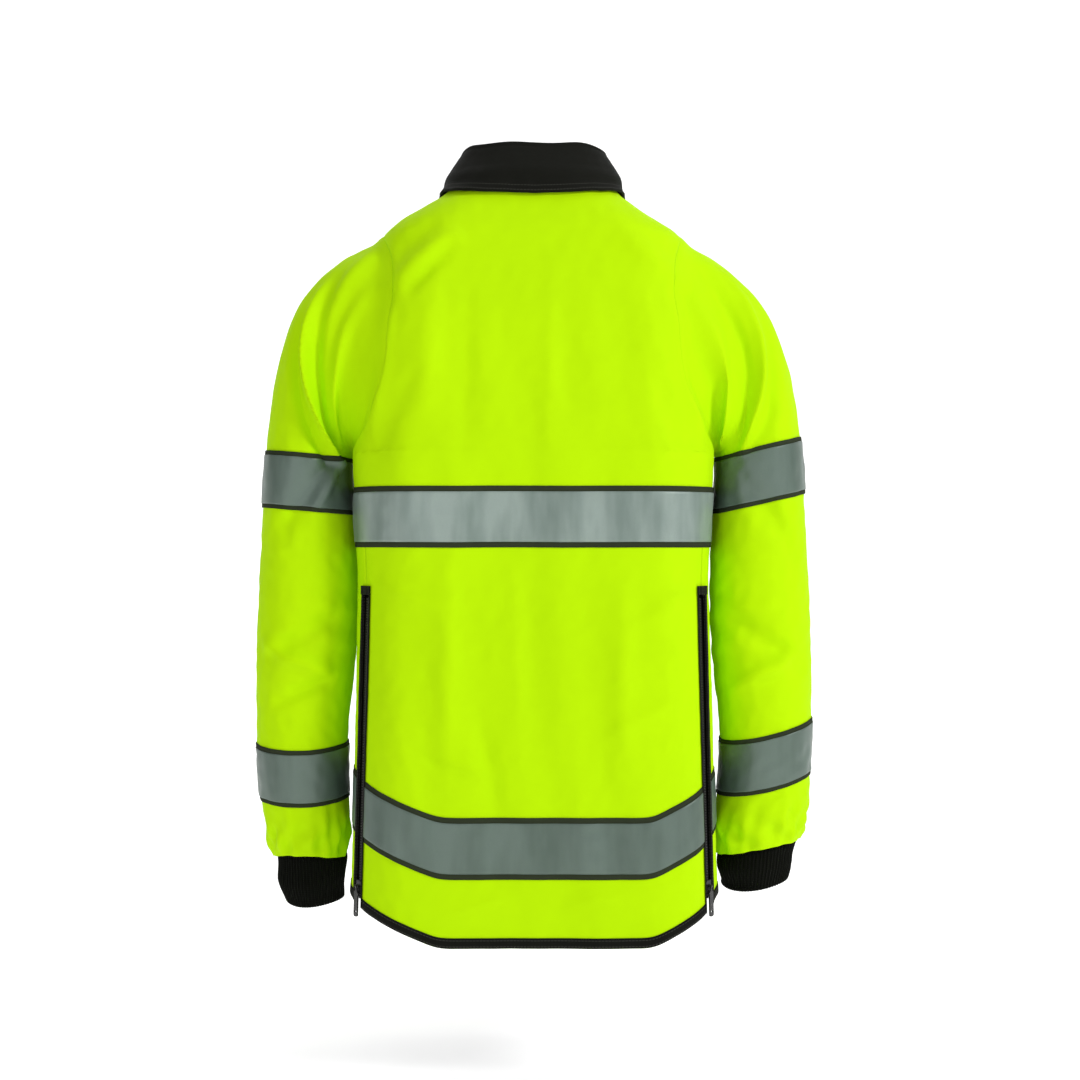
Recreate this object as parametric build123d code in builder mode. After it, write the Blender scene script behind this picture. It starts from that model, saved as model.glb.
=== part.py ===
"""High-visibility responder coat, closed and worn on an upright body.

Millimetres, +Z up, the wearer faces -Y and the wearer's left is +X. The origin is the
middle of the neck opening at the height of the collar seam at the back.
"""

import math
import os

from build123d import *

os.makedirs("parts", exist_ok=True)

# Cloth
cloth = 1.6  # outer shell with its seam allowance pressed flat
lining_cloth = 0.8
lining_depth = 3.6  # from the outside of the shell to the outside of the lining
trim_gap = 0.4  # between the shell and what is sewn on it
tape_cloth = 0.5  # one layer of reflective tape or of its dark backing
tape_step = 0.7  # from the face of the backing to the face of the silver above it

# Torso
hem_back = -768  # height of the hem at the centre
hem_side = -738
hem_flat = 105  # half the width over which the hem runs level
closure_top = -60
closure_reach = 100  # how far the closure stands in front of the origin at its top
closure_slope = 0.045
side_top = -400  # the side seam is straight from here down
side_width = 183
side_slope = 9 / 368
back_reach = 113
back_slope = 0.02
corner_radius = 70
seam_turn = math.radians(32)  # the side seam, round the back corner from the side
seam_meets_armhole = -150
vent_top = -412
vent_half_width = 9
opening_half_width = 9  # between the two fronts, over the zip
armhole_top = (158, -36)  # x and z of the shoulder point
armhole_bottom = (187, -268)
neck_top = 10
neck_drop = 64  # how far the front neckline dips below neck_top

# Reflective bands: dark backing, with the silver tape in its middle
silver_width = 50.8
backing_width = 62
chest_band_z = -334.5
hem_band_rise = 100  # height of its middle above the hem
sleeve_backing_width = 60
oval_corners = 24
joint_gap = 0.3

# Arms, for the wearer's left; the right is the same, mirrored
sleeve_ring = (228, 0, -191)  # middle of the slanted ring where the sleeve leaves its head
sleeve_ring_up = (0.475, 0, 0.88)
sleeve_ring_half = (76, 74)  # along the slant, and front to back
elbow_pivot = (244, -3, -430)
elbow_reach = 66  # of the crumpling cloth above and below the elbow
sleeve_end = -692
cuff_end = -748
sleeve_cloth = 2.2
cuff_knit = 3.0
upper_band_z = -297.5
lower_band_z = -611.5
sleeve_backing_width = 60
oval_corners = 24
joint_gap = 0.3

# Collar
collar_cloth = 2.2
fall_gap = 2.4  # between the stand and the fall that folds over it

# Zips, measured from the outside of the shell: depth of the tape's middle, tape's half width
front_zip = (3.0, 22)
side_zip = (4.8, 14)
coil_inner = 0.8
coil_outer = 3.2
coil_height = 3.2
zip_tape_cloth = 0.8
slider_length = 12
slider_half_width = 5.5
slider_gap = 4.0
slider_wall = 1.4
slider_web = 1.0
pin_radius = 0.6
eye_radius = 1.6
eye_hole = 0.8
pull_length = 26
pull_width = 8
pull_cloth = 1.6
closure_zip_length = 688
closure_slider_at = 12
side_zip_length = 316
side_slider_at = 300

# Storm flap, as x across the closure and y out from the shell
flap_path = [(36, 0.4), (22, 4.4), (-19, 4.4), (-25, 2.2), (-40, 2.2)]
flap_cloth = 1.8
flap_top = 46
flap_length = 645
snap_x = -32
snap_places = [62, 145, 225, 345, 455, 555, 665]  # along the closure
snap_cap_radius = 6.5
snap_hole = 2.3

# Pockets on the two fronts
pocket_inner = 46
pocket_outer = 144
pocket_top = 396  # along the closure
pocket_drop = 166
pocket_depth = 14
pocket_cloth = 1.4
pocket_flap_top = 380
pocket_flap_path = [(0, 0.4), (14, 16.6), (58, 16.6)]  # down from its seam, and out
pocket_snap_x = 28  # from the middle of the pocket

far = 400  # longer than anything that a cutter has to clear


def front_reach(z):
    """How far the straight closure line stands in front of the origin at height z."""
    return closure_reach + (closure_top - z) * closure_slope


def low_reach(z):
    """How far the coat reaches to the side and to the back at height z, below the waist."""
    return side_width + (side_top - z) * side_slope, back_reach + (side_top - z) * back_slope


def save(part, name):
    part.label = name
    export_step(part, f"parts/{name}.step")


# Height, half width, reach to the back, corner radius
torso_levels = [
    (-800, *low_reach(-800), corner_radius),
    (side_top, *low_reach(side_top), corner_radius),
    (-270, 189, 124, 74),
    (-130, 186, 116, 74),
    (armhole_top[1], armhole_top[0] + 2, 92, 74),
    (neck_top, 96, 70, 60),
]


def torso_block(grow):
    """The torso as a closed solid whose sides stand out from the shell's face by grow."""
    with BuildPart() as block:
        for z, half_width, back, radius in torso_levels:
            front = front_reach(z) if z <= armhole_top[1] else 74
            with BuildSketch(Plane.XY.offset(z)):
                with Locations((0, (back - front) / 2)):
                    RectangleRounded(2 * (half_width + grow), back + front + 2 * grow, radius + grow)
        loft(ruled=True)
    return block.part


def hem_strip(low, high):
    """All that lies between two lines that follow the hem, low and high above it."""
    with BuildPart() as strip:
        with BuildSketch(Plane.XZ):
            with BuildLine():
                for rise in (low, high):
                    level = Line((-hem_flat, hem_back + rise), (hem_flat, hem_back + rise))
                    TangentArc((hem_flat, hem_back + rise), (far / 2, hem_side + rise), tangent=(1, 0))
                    TangentArc((-hem_flat, hem_back + rise), (-far / 2, hem_side + rise), tangent=(-1, 0))
                Line((far / 2, hem_side + low), (far / 2, hem_side + high))
                Line((-far / 2, hem_side + low), (-far / 2, hem_side + high))
            make_face()
        extrude(amount=far, both=True)
    return strip.part


def slab(z_low, z_high):
    with BuildPart() as block:
        with BuildSketch(Plane.XY.offset(z_low)):
            Rectangle(2 * far, 2 * far)
        extrude(amount=z_high - z_low)
    return block.part


def quarter(x_from, x_to, y_from, y_to):
    """A tall column that keeps one panel of the coat."""
    with BuildPart() as column:
        with BuildSketch(Plane.XY.offset(-2 * far)):
            with Locations(((x_from + x_to) / 2, (y_from + y_to) / 2)):
                Rectangle(x_to - x_from, y_to - y_from)
        extrude(amount=3 * far)
    return column.part


# Planes that lie along the closure and along the side seam, local z out of the coat
closure_plane = Plane(
    origin=(0, -closure_reach, closure_top), x_dir=(1, 0, 0), z_dir=(0, -1, closure_slope)
)
seam_out = (math.cos(seam_turn), math.sin(seam_turn))
vent_reach = low_reach(vent_top)
side_plane = Plane(
    origin=(
        vent_reach[0] - corner_radius * (1 - seam_out[0]),
        vent_reach[1] - corner_radius * (1 - seam_out[1]),
        vent_top,
    ),
    x_dir=(-seam_out[1], seam_out[0], 0),
    z_dir=(*seam_out, seam_out[0] * side_slope + seam_out[1] * back_slope),
)


def block_on(plane, x_range, y_range, z_range):
    """A box between the given local coordinates of a plane."""
    with BuildPart() as block:
        with BuildSketch(plane.offset(z_range[0])):
            with Locations((sum(x_range) / 2, sum(y_range) / 2)):
                Rectangle(x_range[1] - x_range[0], y_range[1] - y_range[0])
        extrude(amount=z_range[1] - z_range[0])
    return block.part


def make_armholes():
    """What the two armholes take out of the torso."""
    with BuildPart() as cutter:
        with BuildSketch(Plane.XZ):
            with BuildLine():
                Polyline(
                    (armhole_top[0], far),
                    armhole_top,
                    armhole_bottom,
                    (far, armhole_bottom[1]),
                    (far, far),
                    close=True,
                )
            make_face()
        extrude(amount=far, both=True)
        mirror(about=Plane.YZ)
    return cutter.part


def make_neckline():
    """The dip that the front neckline takes out of the fronts."""
    with BuildPart() as cutter:
        with BuildSketch(Plane.XZ.offset(20)):
            with Locations((0, neck_top)):
                Ellipse(74, neck_drop)
        extrude(amount=far)
    return cutter.part


def make_vents(half_width):
    """The slots in the side seams that the side zips close."""
    with BuildPart() as cutter:
        add(block_on(side_plane, (-half_width, half_width), (-far, 0), (-25, 25)))
        mirror(about=Plane.YZ)
    return cutter.part


armholes = make_armholes()
neckline = make_neckline()
vents = make_vents(vent_half_width)
above_hem = hem_strip(0, 2 * far)
shell_outside = torso_block(0)
shell_inside = torso_block(-cloth)



def make_back_column():
    """All that lies behind the side seams, and higher up behind the shoulder seams."""
    inner = (vent_reach[0] - corner_radius, vent_reach[1] - corner_radius)
    outer = (inner[0] + far * seam_out[0], inner[1] + far * seam_out[1])
    with BuildPart() as column:
        with BuildSketch(Plane.XY.offset(-2 * far)):
            with BuildLine():
                Polyline(
                    inner,
                    outer,
                    (outer[0], 2 * far),
                    (-outer[0], 2 * far),
                    (-outer[0], outer[1]),
                    (-inner[0], inner[1]),
                    close=True,
                )
            make_face()
        extrude(amount=2 * far + seam_meets_armhole)
        with BuildSketch(Plane.XY.offset(seam_meets_armhole)):
            with Locations((0, far / 2)):
                Rectangle(2 * far, far)
        extrude(amount=far)
    return column.part


behind_seams = make_back_column()


def front_column(x_from, x_to):
    """The front of the coat between two distances from its middle, round to the side seam."""
    with BuildPart() as column:
        add(quarter(x_from, x_to, -far, far))
        add(behind_seams, mode=Mode.SUBTRACT)
    return column.part


columns = {
    "back": behind_seams,
    "left_front": front_column(opening_half_width, far),
    "right_front": front_column(-far, -opening_half_width),
}

# Shell: the back and the two fronts
for place, column in columns.items():
    with BuildPart() as panel:
        add(shell_outside)
        add(shell_inside, mode=Mode.SUBTRACT)
        add(armholes, mode=Mode.SUBTRACT)
        add(neckline, mode=Mode.SUBTRACT)
        add(vents, mode=Mode.SUBTRACT)
        add(above_hem, mode=Mode.INTERSECT)
        add(column, mode=Mode.INTERSECT)
    save(panel.part, f"{place}_panel")

# Lining, which stops short of the hem, the zips and the vents
lining_outside = torso_block(-lining_depth)
lining_inside = torso_block(-lining_depth - lining_cloth)
lining_vents = make_vents(vent_half_width + 6)
above_lining_hem = hem_strip(26, 2 * far)
lining_columns = [
    columns["back"],
    front_column(front_zip[1] + 2, far),
    front_column(-far, -front_zip[1] - 2),
]
linings = []
for column in lining_columns:
    with BuildPart() as lining:
        add(lining_outside)
        add(lining_inside, mode=Mode.SUBTRACT)
        add(armholes, mode=Mode.SUBTRACT)
        add(neckline, mode=Mode.SUBTRACT)
        add(lining_vents, mode=Mode.SUBTRACT)
        add(above_lining_hem, mode=Mode.INTERSECT)
        add(column, mode=Mode.INTERSECT)
    linings += lining.part.solids()
save(Compound(children=linings), "body_lining")

# Hem binding: a channel of dark tape round the edge of each panel
binding_outside = torso_block(trim_gap + tape_cloth)
binding_inside = torso_block(-cloth - trim_gap - tape_cloth)
channel_outside = torso_block(trim_gap)
channel_inside = torso_block(-cloth - trim_gap)
binding_height = hem_strip(-1.2, 8.5)
channel_height = hem_strip(-trim_gap, 2 * far)
for place, column in columns.items():
    with BuildPart() as channel:
        add(channel_outside)
        add(channel_inside, mode=Mode.SUBTRACT)
        add(channel_height, mode=Mode.INTERSECT)
    with BuildPart() as binding:
        add(binding_outside)
        add(binding_inside, mode=Mode.SUBTRACT)
        add(vents, mode=Mode.SUBTRACT)
        add(binding_height, mode=Mode.INTERSECT)
        add(channel.part, mode=Mode.SUBTRACT)
        add(column, mode=Mode.INTERSECT)
    save(binding.part, f"{place}_hem_binding")

# Reflective bands on the torso: the strip of each on the back and on the two fronts
backing_outside = torso_block(trim_gap + tape_cloth)
backing_inside = torso_block(trim_gap)
silver_outside = torso_block(trim_gap + tape_step + tape_cloth)
silver_inside = torso_block(trim_gap + tape_step)
band_columns = [
    columns["back"],
    front_column(flap_path[0][0] + 3, far),
    front_column(-far, -front_zip[1]),
]
band_strips = {
    "chest_band": lambda w: slab(chest_band_z - w / 2, chest_band_z + w / 2),
    "hem_band": lambda w: hem_strip(hem_band_rise - w / 2, hem_band_rise + w / 2),
}
band_layers = {
    "silver": (silver_outside, silver_inside, silver_width),
    "backing": (backing_outside, backing_inside, backing_width),
}
for band, strip_of_width in band_strips.items():
    for layer, (outside, inside, width) in band_layers.items():
        pieces = []
        for column in band_columns:
            with BuildPart() as piece:
                add(outside)
                add(inside, mode=Mode.SUBTRACT)
                add(vents, mode=Mode.SUBTRACT)
                add(strip_of_width(width), mode=Mode.INTERSECT)
                add(column, mode=Mode.INTERSECT)
            pieces += piece.part.solids()
        save(Compound(children=pieces), f"{band}_{layer}")


def save_mirrored(part, name):
    """The piece on the wearer's left and its mirror image on the right."""
    save(part, f"left_{name}")
    save(mirror(part, about=Plane.YZ), f"right_{name}")


# Collar: the stand rises from the neck seam, and the fall folds over it
collar_levels = [(-70, 97, 72, 101), (neck_top, 97, 70, 80), (56, 58, 50, 54)]


def collar_cone(grow):
    with BuildPart() as cone:
        for z, half_width, back, front in collar_levels:
            with BuildSketch(Plane.XY.offset(z)):
                with Locations((0, (back - front) / 2)):
                    Ellipse(half_width + grow, (back + front) / 2 + grow)
        loft(ruled=True)
    return cone.part


def collar_profile(points):
    """All that lies between the lower and upper edges, seen from the side."""
    with BuildPart() as profile:
        with BuildSketch(Plane.YZ):
            with BuildLine():
                Polyline(*points, close=True)
            make_face()
        extrude(amount=far, both=True)
    return profile.part


with BuildPart() as neck_zone:
    add(torso_block(trim_gap))
    add(neckline, mode=Mode.SUBTRACT)
front_gap = quarter(-opening_half_width, opening_half_width, -far, 0)
stand_profile = [(110, 12), (0, 11), (-110, -48), (-110, -12), (-40, 34), (0, 50), (110, 50)]
fall_profile = [(110, -6), (0, -14), (-110, -84), (-110, -14), (-40, 36), (0, 53), (110, 53)]
collar_pieces = {
    "collar_stand": (0, stand_profile),
    "collar_fall": (fall_gap + collar_cloth, fall_profile),
}
for name, (grow, points) in collar_pieces.items():
    with BuildPart() as collar:
        add(collar_cone(grow))
        add(collar_cone(grow - collar_cloth), mode=Mode.SUBTRACT)
        add(collar_profile(points), mode=Mode.INTERSECT)
        add(neck_zone.part, mode=Mode.SUBTRACT)
        add(front_gap, mode=Mode.SUBTRACT)
    save(collar.part, name)

# Hanging loop inside the back of the neck
with BuildPart() as hang_loop:
    with BuildSketch(Plane.XY.offset(-22)):
        with Locations((0, 62)):
            Ellipse(30, 11)
            Ellipse(28.4, 9.4, mode=Mode.SUBTRACT)
            with Locations((0, 20)):
                Rectangle(80, 40, mode=Mode.SUBTRACT)
    extrude(amount=8)
save(hang_loop.part, "hang_loop")


def zip_half(plane, side, length, kind):
    """The tape and the coil of one half of a zip that hangs down from a plane's origin."""
    depth, tape_edge = kind
    coil_x = sorted((side * coil_inner, side * coil_outer))
    tape_x = sorted((side * coil_outer, side * tape_edge))
    coil_z = (-depth - coil_height / 2, -depth + coil_height / 2)
    tape_z = (-depth - zip_tape_cloth / 2, -depth + zip_tape_cloth / 2)
    tape = block_on(plane, tape_x, (-length, 0), tape_z)
    coil = block_on(plane, coil_x, (-length + 4, -4), coil_z)
    return tape, coil


def zip_slider(plane, at, kind):
    """Two plates either side of the coils, the web between them and the pin of the pull."""
    back = -kind[0] - slider_gap / 2
    front = -kind[0] + slider_gap / 2
    pin_height = front + slider_wall + eye_radius + 0.2
    with BuildPart() as slider:
        for low in (back - slider_wall, front):
            with BuildSketch(plane.offset(low)):
                with Locations((0, -at)):
                    RectangleRounded(2 * slider_half_width, slider_length, 2)
            extrude(amount=slider_wall)
        with BuildSketch(plane.offset(back)):
            with Locations((0, -at)):
                Rectangle(slider_web, slider_length)
        extrude(amount=slider_gap)
        for x in (-2.6, 2.6):
            with BuildSketch(plane.offset(front + slider_wall)):
                with Locations((x, -at)):
                    Rectangle(1.2, 2.4)
            extrude(amount=eye_radius + 0.2 + pin_radius)
        pin_plane = Plane(
            origin=plane.from_local_coords((-3, -at, pin_height)),
            x_dir=plane.y_dir,
            z_dir=plane.x_dir,
        )
        with BuildSketch(pin_plane):
            Circle(pin_radius)
        extrude(amount=6)
    return slider.part


def zip_pull(plane, at, kind):
    """The tab that hangs from the slider's pin, round which its eye turns."""
    pin_height = -kind[0] + slider_gap / 2 + slider_wall + eye_radius + 0.2
    with BuildPart() as pull:
        with BuildSketch(plane.offset(pin_height - pull_cloth / 2)):
            with Locations((0, -at - eye_radius - 3 - pull_length / 2)):
                RectangleRounded(pull_width, pull_length, 2.5)
                with Locations((0, -pull_length / 2 + 5)):
                    SlotOverall(4.5, 2.2, mode=Mode.SUBTRACT)
            with Locations((0, -at - 3.5)):
                Rectangle(3, 6)
        extrude(amount=pull_cloth)
        eye_plane = Plane(
            origin=plane.from_local_coords((-1.5, -at, pin_height)),
            x_dir=plane.y_dir,
            z_dir=plane.x_dir,
        )
        with BuildSketch(eye_plane):
            Circle(eye_radius)
        extrude(amount=3)
        with BuildSketch(eye_plane):
            Circle(eye_hole)
        extrude(amount=3, mode=Mode.SUBTRACT)
    return pull.part


# Front closure: the zip, its stops, its slider and pull
for side, name in ((1, "left"), (-1, "right")):
    tape, coil = zip_half(closure_plane, side, closure_zip_length, front_zip)
    save(tape, f"{name}_zip_tape")
    save(coil, f"{name}_zip_coil")
stops = []
for side in (-1, 1):
    across = sorted((side * coil_inner, side * coil_outer))
    stop_depth = (-front_zip[0] - coil_height / 2, -front_zip[0] + coil_height / 2)
    stops.append(block_on(closure_plane, across, (-4, -1), stop_depth))
save(Compound(children=stops), "zip_top_stops")
box_ends = (-closure_zip_length, -closure_zip_length + 4)
box_depth = (-front_zip[0] - slider_gap / 2, -front_zip[0] + slider_gap / 2)
save(block_on(closure_plane, (-coil_outer, coil_outer), box_ends, box_depth), "zip_bottom_box")
save(zip_slider(closure_plane, closure_slider_at, front_zip), "zip_slider")
save(zip_pull(closure_plane, closure_slider_at, front_zip), "zip_pull")

# Storm flap, with the caps of its press studs
flap_section = Plane(
    origin=closure_plane.from_local_coords((0, -flap_top, 0)),
    x_dir=(1, 0, 0),
    z_dir=(0, -closure_slope, -1),
)
with BuildPart() as storm_flap:
    with BuildSketch(flap_section):
        with BuildLine():
            outer_face = [(x, y + flap_cloth) for x, y in reversed(flap_path)]
            Polyline(*flap_path, *outer_face, close=True)
        make_face()
    extrude(amount=flap_length)
    with BuildSketch(closure_plane):
        with Locations(*[(snap_x, -place) for place in snap_places]):
            Circle(snap_hole)
    extrude(amount=20, mode=Mode.SUBTRACT)
save(storm_flap.part, "storm_flap")


def snap_cap(plane, spot, inner_face):
    """A cap on the outside of a flap, with the rivet that goes through it."""
    with BuildPart() as cap:
        with BuildSketch(plane.offset(inner_face + flap_cloth)):
            with Locations(spot):
                Circle(snap_cap_radius)
        extrude(amount=1.4, taper=30)
        with BuildSketch(plane.offset(inner_face + 0.1)):
            with Locations(spot):
                Circle(snap_hole - 0.1)
        extrude(amount=flap_cloth)
    return cap.part


def snap_stud(plane, spot, surface, inner_face):
    """The stud that a flap's cap presses on to."""
    with BuildPart() as stud:
        with BuildSketch(plane.offset(surface)):
            with Locations(spot):
                Circle(5)
        extrude(amount=0.6)
        with BuildSketch(plane.offset(surface + 0.6)):
            with Locations(spot):
                Circle(1.8)
        extrude(amount=inner_face - surface - 0.9)
    return stud.part


flap_inner_face = flap_path[-1][1]
flap_spots = [(snap_x, -place) for place in snap_places]
save(
    Compound(children=[snap_cap(closure_plane, spot, flap_inner_face) for spot in flap_spots]),
    "flap_snap_caps",
)
save(
    Compound(children=[snap_stud(closure_plane, spot, 0, flap_inner_face) for spot in flap_spots]),
    "flap_snap_studs",
)

# Pockets: an open-topped bellows, and a flap that hangs over its mouth
pocket_x = (pocket_inner + pocket_outer) / 2
pocket_width = pocket_outer - pocket_inner
pocket_face = pocket_depth + trim_gap


# Across the pocket's outer edge: local x runs down the front, and local y out of it
pocket_section = Plane(
    origin=closure_plane.from_local_coords((pocket_outer + 2, -pocket_flap_top, 0)),
    x_dir=(0, -closure_slope, -1),
    z_dir=(-1, 0, 0),
)
with BuildPart() as pocket:
    with BuildSketch(closure_plane.offset(trim_gap)):
        with Locations((pocket_x, -pocket_top - pocket_drop / 2)):
            Rectangle(pocket_width, pocket_drop)
    extrude(amount=pocket_depth)
    with BuildSketch(closure_plane.offset(trim_gap + pocket_cloth)):
        with Locations((pocket_x, -pocket_top - (pocket_drop - pocket_cloth) / 2)):
            Rectangle(pocket_width - 2 * pocket_cloth, pocket_drop - pocket_cloth)
    extrude(amount=pocket_depth - 2 * pocket_cloth, mode=Mode.SUBTRACT)
save_mirrored(pocket.part, "pocket")

flap_end = pocket_flap_path[-1]
pocket_snap_y = -pocket_flap_top - flap_end[0] + 12
pocket_snap_spots = [(pocket_x + side * pocket_snap_x, pocket_snap_y) for side in (-1, 1)]
with BuildPart() as pocket_flap:
    with BuildSketch(pocket_section):
        with BuildLine():
            outer_face = [(x, y + flap_cloth) for x, y in reversed(pocket_flap_path)]
            Polyline(*pocket_flap_path, *outer_face, close=True)
        make_face()
    extrude(amount=pocket_width + 4)
    with BuildSketch(closure_plane):
        with Locations(*pocket_snap_spots):
            Circle(snap_hole)
    extrude(amount=30, mode=Mode.SUBTRACT)
save_mirrored(pocket_flap.part, "pocket_flap")
caps = [snap_cap(closure_plane, spot, flap_end[1]) for spot in pocket_snap_spots]
save_mirrored(Compound(children=caps), "pocket_flap_caps")
studs = [snap_stud(closure_plane, spot, pocket_face, flap_end[1]) for spot in pocket_snap_spots]
studs += [mirror(stud, about=Plane.YZ) for stud in studs]
save(Compound(children=studs), "pocket_snap_studs")

# Tabs for a microphone, one on each side of the chest
mic_tabs = []
for side in (-1, 1):
    for low, high, near, away in ((-116, -104, 0.4, 1.8), (-113, -107, 2.0, 3.4)):
        across = sorted((side * 46, side * 92))
        mic_tabs.append(block_on(closure_plane, across, (low, high), (near, away)))
save(Compound(children=mic_tabs), "mic_tabs")

# Side zips
tapes, coils = zip(*[zip_half(side_plane, side, side_zip_length, side_zip) for side in (-1, 1)])
save_mirrored(Compound(children=list(tapes)), "side_zip_tape")
save_mirrored(Compound(children=list(coils)), "side_zip_coil")
save_mirrored(zip_slider(side_plane, side_slider_at, side_zip), "side_zip_slider")
save_mirrored(zip_pull(side_plane, side_slider_at, side_zip), "side_zip_pull")

# Sleeves. Height, middle x and y, half width and half depth
upper_levels = [(-330, 241.5, 0, 46.5, 66), (elbow_pivot[2] + elbow_reach, 243, -1, 48, 64)]
gusset_levels = [
    (elbow_pivot[2] + elbow_reach, 243, -1, 48, 64),
    (elbow_pivot[2] - elbow_reach, 245.5, -4, 50.5, 62),
]
lower_levels = [
    (elbow_pivot[2] - elbow_reach, 245.5, -4, 50.5, 62),
    (-560, 245.5, -7, 50.5, 59),
    (-640, 244, -10, 47, 54),
    (sleeve_end, 238.5, -12, 38, 47),
]
cuff_levels = [(sleeve_end, 239, -12, 35, 44), (-720, 238.5, -13, 33, 42), (cuff_end, 236, -14, 30, 38)]


def slanted_plane(middle, up):
    """A plane across a sleeve whose local x points up the slant and local y to the back."""
    return Plane(origin=middle, x_dir=up, z_dir=Vector(up).cross(Vector(0, 1, 0)))


ring_plane = slanted_plane(sleeve_ring, sleeve_ring_up)


def oval(plane, half_x, half_y, middle=(0, 0)):
    """A many-sided oval, so that the sides of a loft run from corner to corner."""
    turns = [2 * math.pi * corner / oval_corners for corner in range(oval_corners)]
    with BuildSketch(plane) as shape:
        with BuildLine():
            Polyline(
                *[(middle[0] + half_x * math.cos(t), middle[1] + half_y * math.sin(t)) for t in turns],
                close=True,
            )
        make_face()
    return shape.sketch.face()


def sleeve_block(levels, grow, with_ring=False):
    """A sleeve as a closed solid, through its levels and from its slanted ring if it has one."""
    sections = []
    if with_ring:
        sections.append(oval(ring_plane, sleeve_ring_half[0] + grow, sleeve_ring_half[1] + grow))
    for z, x, y, half_x, half_y in levels:
        sections.append(oval(Plane.XY.offset(z), half_x + grow, half_y + grow, (x, y)))
    with BuildPart() as block:
        loft(sections, ruled=True)
    return block.part


def sleeve_shell(levels, grow, thickness, with_ring=False):
    with BuildPart() as shell:
        add(sleeve_block(levels, grow, with_ring))
        add(sleeve_block(levels, grow - thickness, with_ring), mode=Mode.SUBTRACT)
    return shell.part


# The sleeve head runs from the armhole over the crown of the shoulder to the slanted ring
head_sections = [
    (slanted_plane((173.7, 0, -151), (-0.125, 0, 0.992)), (115, 73)),
    (slanted_plane((211, 0, -170), (0.223, 0, 0.975)), (94, 75)),
    (ring_plane, sleeve_ring_half),
]


def head_block(inset):
    sections = [oval(plane, up - inset, across - inset) for plane, (up, across) in head_sections]
    with BuildPart() as block:
        loft(sections, ruled=True)
    return block.part


with BuildPart() as sleeve_head:
    add(head_block(0))
    add(head_block(sleeve_cloth), mode=Mode.SUBTRACT)
save_mirrored(sleeve_head.part, "sleeve_head")


def trimmed(part, z_low, z_high):
    with BuildPart() as piece:
        add(part)
        add(slab(z_low, z_high), mode=Mode.INTERSECT)
    return piece.part


save_mirrored(sleeve_shell(upper_levels, 0, sleeve_cloth, True), "upper_sleeve")
gusset = sleeve_shell(gusset_levels, 0, sleeve_cloth)
gusset_top = elbow_pivot[2] + elbow_reach - joint_gap
gusset_bottom = elbow_pivot[2] - elbow_reach + joint_gap
save_mirrored(trimmed(gusset, gusset_bottom, gusset_top), "elbow_gusset")
save_mirrored(sleeve_shell(lower_levels, 0, sleeve_cloth), "lower_sleeve")
save_mirrored(sleeve_shell(cuff_levels, 0, cuff_knit), "cuff")

# Reflective bands round the sleeves
for place, levels, with_ring, middle in (
    ("upper", upper_levels, True, upper_band_z),
    ("lower", lower_levels, False, lower_band_z),
):
    for layer, grow, width in (
        ("backing", trim_gap + tape_cloth, sleeve_backing_width),
        ("silver", trim_gap + tape_step + tape_cloth, silver_width),
    ):
        ring = sleeve_shell(levels, grow, tape_cloth, with_ring)
        band = trimmed(ring, middle - width / 2, middle + width / 2)
        save_mirrored(band, f"{place}_sleeve_band_{layer}")
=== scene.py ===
import math
import bpy
import numpy as np
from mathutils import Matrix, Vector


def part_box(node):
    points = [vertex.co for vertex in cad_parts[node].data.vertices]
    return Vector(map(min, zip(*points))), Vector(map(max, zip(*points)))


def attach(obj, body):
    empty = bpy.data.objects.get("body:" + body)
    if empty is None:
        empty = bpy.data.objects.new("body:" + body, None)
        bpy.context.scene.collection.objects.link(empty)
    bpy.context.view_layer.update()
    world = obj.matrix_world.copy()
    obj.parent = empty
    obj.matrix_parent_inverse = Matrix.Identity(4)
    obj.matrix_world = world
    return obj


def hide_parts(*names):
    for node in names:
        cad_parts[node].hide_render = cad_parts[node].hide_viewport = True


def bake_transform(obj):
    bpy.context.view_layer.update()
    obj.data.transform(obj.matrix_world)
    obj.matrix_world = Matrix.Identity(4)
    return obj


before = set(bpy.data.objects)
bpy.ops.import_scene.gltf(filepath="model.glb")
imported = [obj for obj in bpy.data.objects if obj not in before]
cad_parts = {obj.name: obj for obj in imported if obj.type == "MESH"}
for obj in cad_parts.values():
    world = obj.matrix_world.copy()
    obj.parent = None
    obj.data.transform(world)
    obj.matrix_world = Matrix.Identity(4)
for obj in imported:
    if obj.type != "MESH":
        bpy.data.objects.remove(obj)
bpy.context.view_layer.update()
print("frame loaded")


def smoothStep(value, low, high):
    # rises from 0 at low to 1 at high, level at both ends
    t = np.clip((np.asarray(value, float) - low) / (high - low), 0, 1)
    return t * t * (3 - 2 * t)


def bump(value, middle, width):
    # a bell of height 1 at the middle
    return np.exp(-(((value - middle) / width) ** 2))


def lerp(a, b, t):
    # from a to b by the share t
    return a + (b - a) * t


def smoothInterp(value, places, heights, reach=0.012):
    # straight lines through the given points, averaged over a short stretch so that they bend gently
    total, weight = 0.0, 0.0
    for step in np.linspace(-1.5, 1.5, 9):
        share = math.exp(-step * step)
        total = total + share * np.interp(value + step * reach, places, heights)
        weight += share
    return total / weight


def unitVectors(v):
    # every vector divided by its own length
    return v / np.maximum(np.linalg.norm(v, axis=-1, keepdims=True), 1e-12)


def gridNormals(points, wrap=False):
    # across every grid point: the cross product of the steps to its neighbours along both directions
    if wrap:
        across = np.roll(points, -1, 1) - np.roll(points, 1, 1)
    else:
        across = np.gradient(points, axis=1)
    along = np.gradient(points, axis=0)
    return unitVectors(np.cross(across, along))


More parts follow.
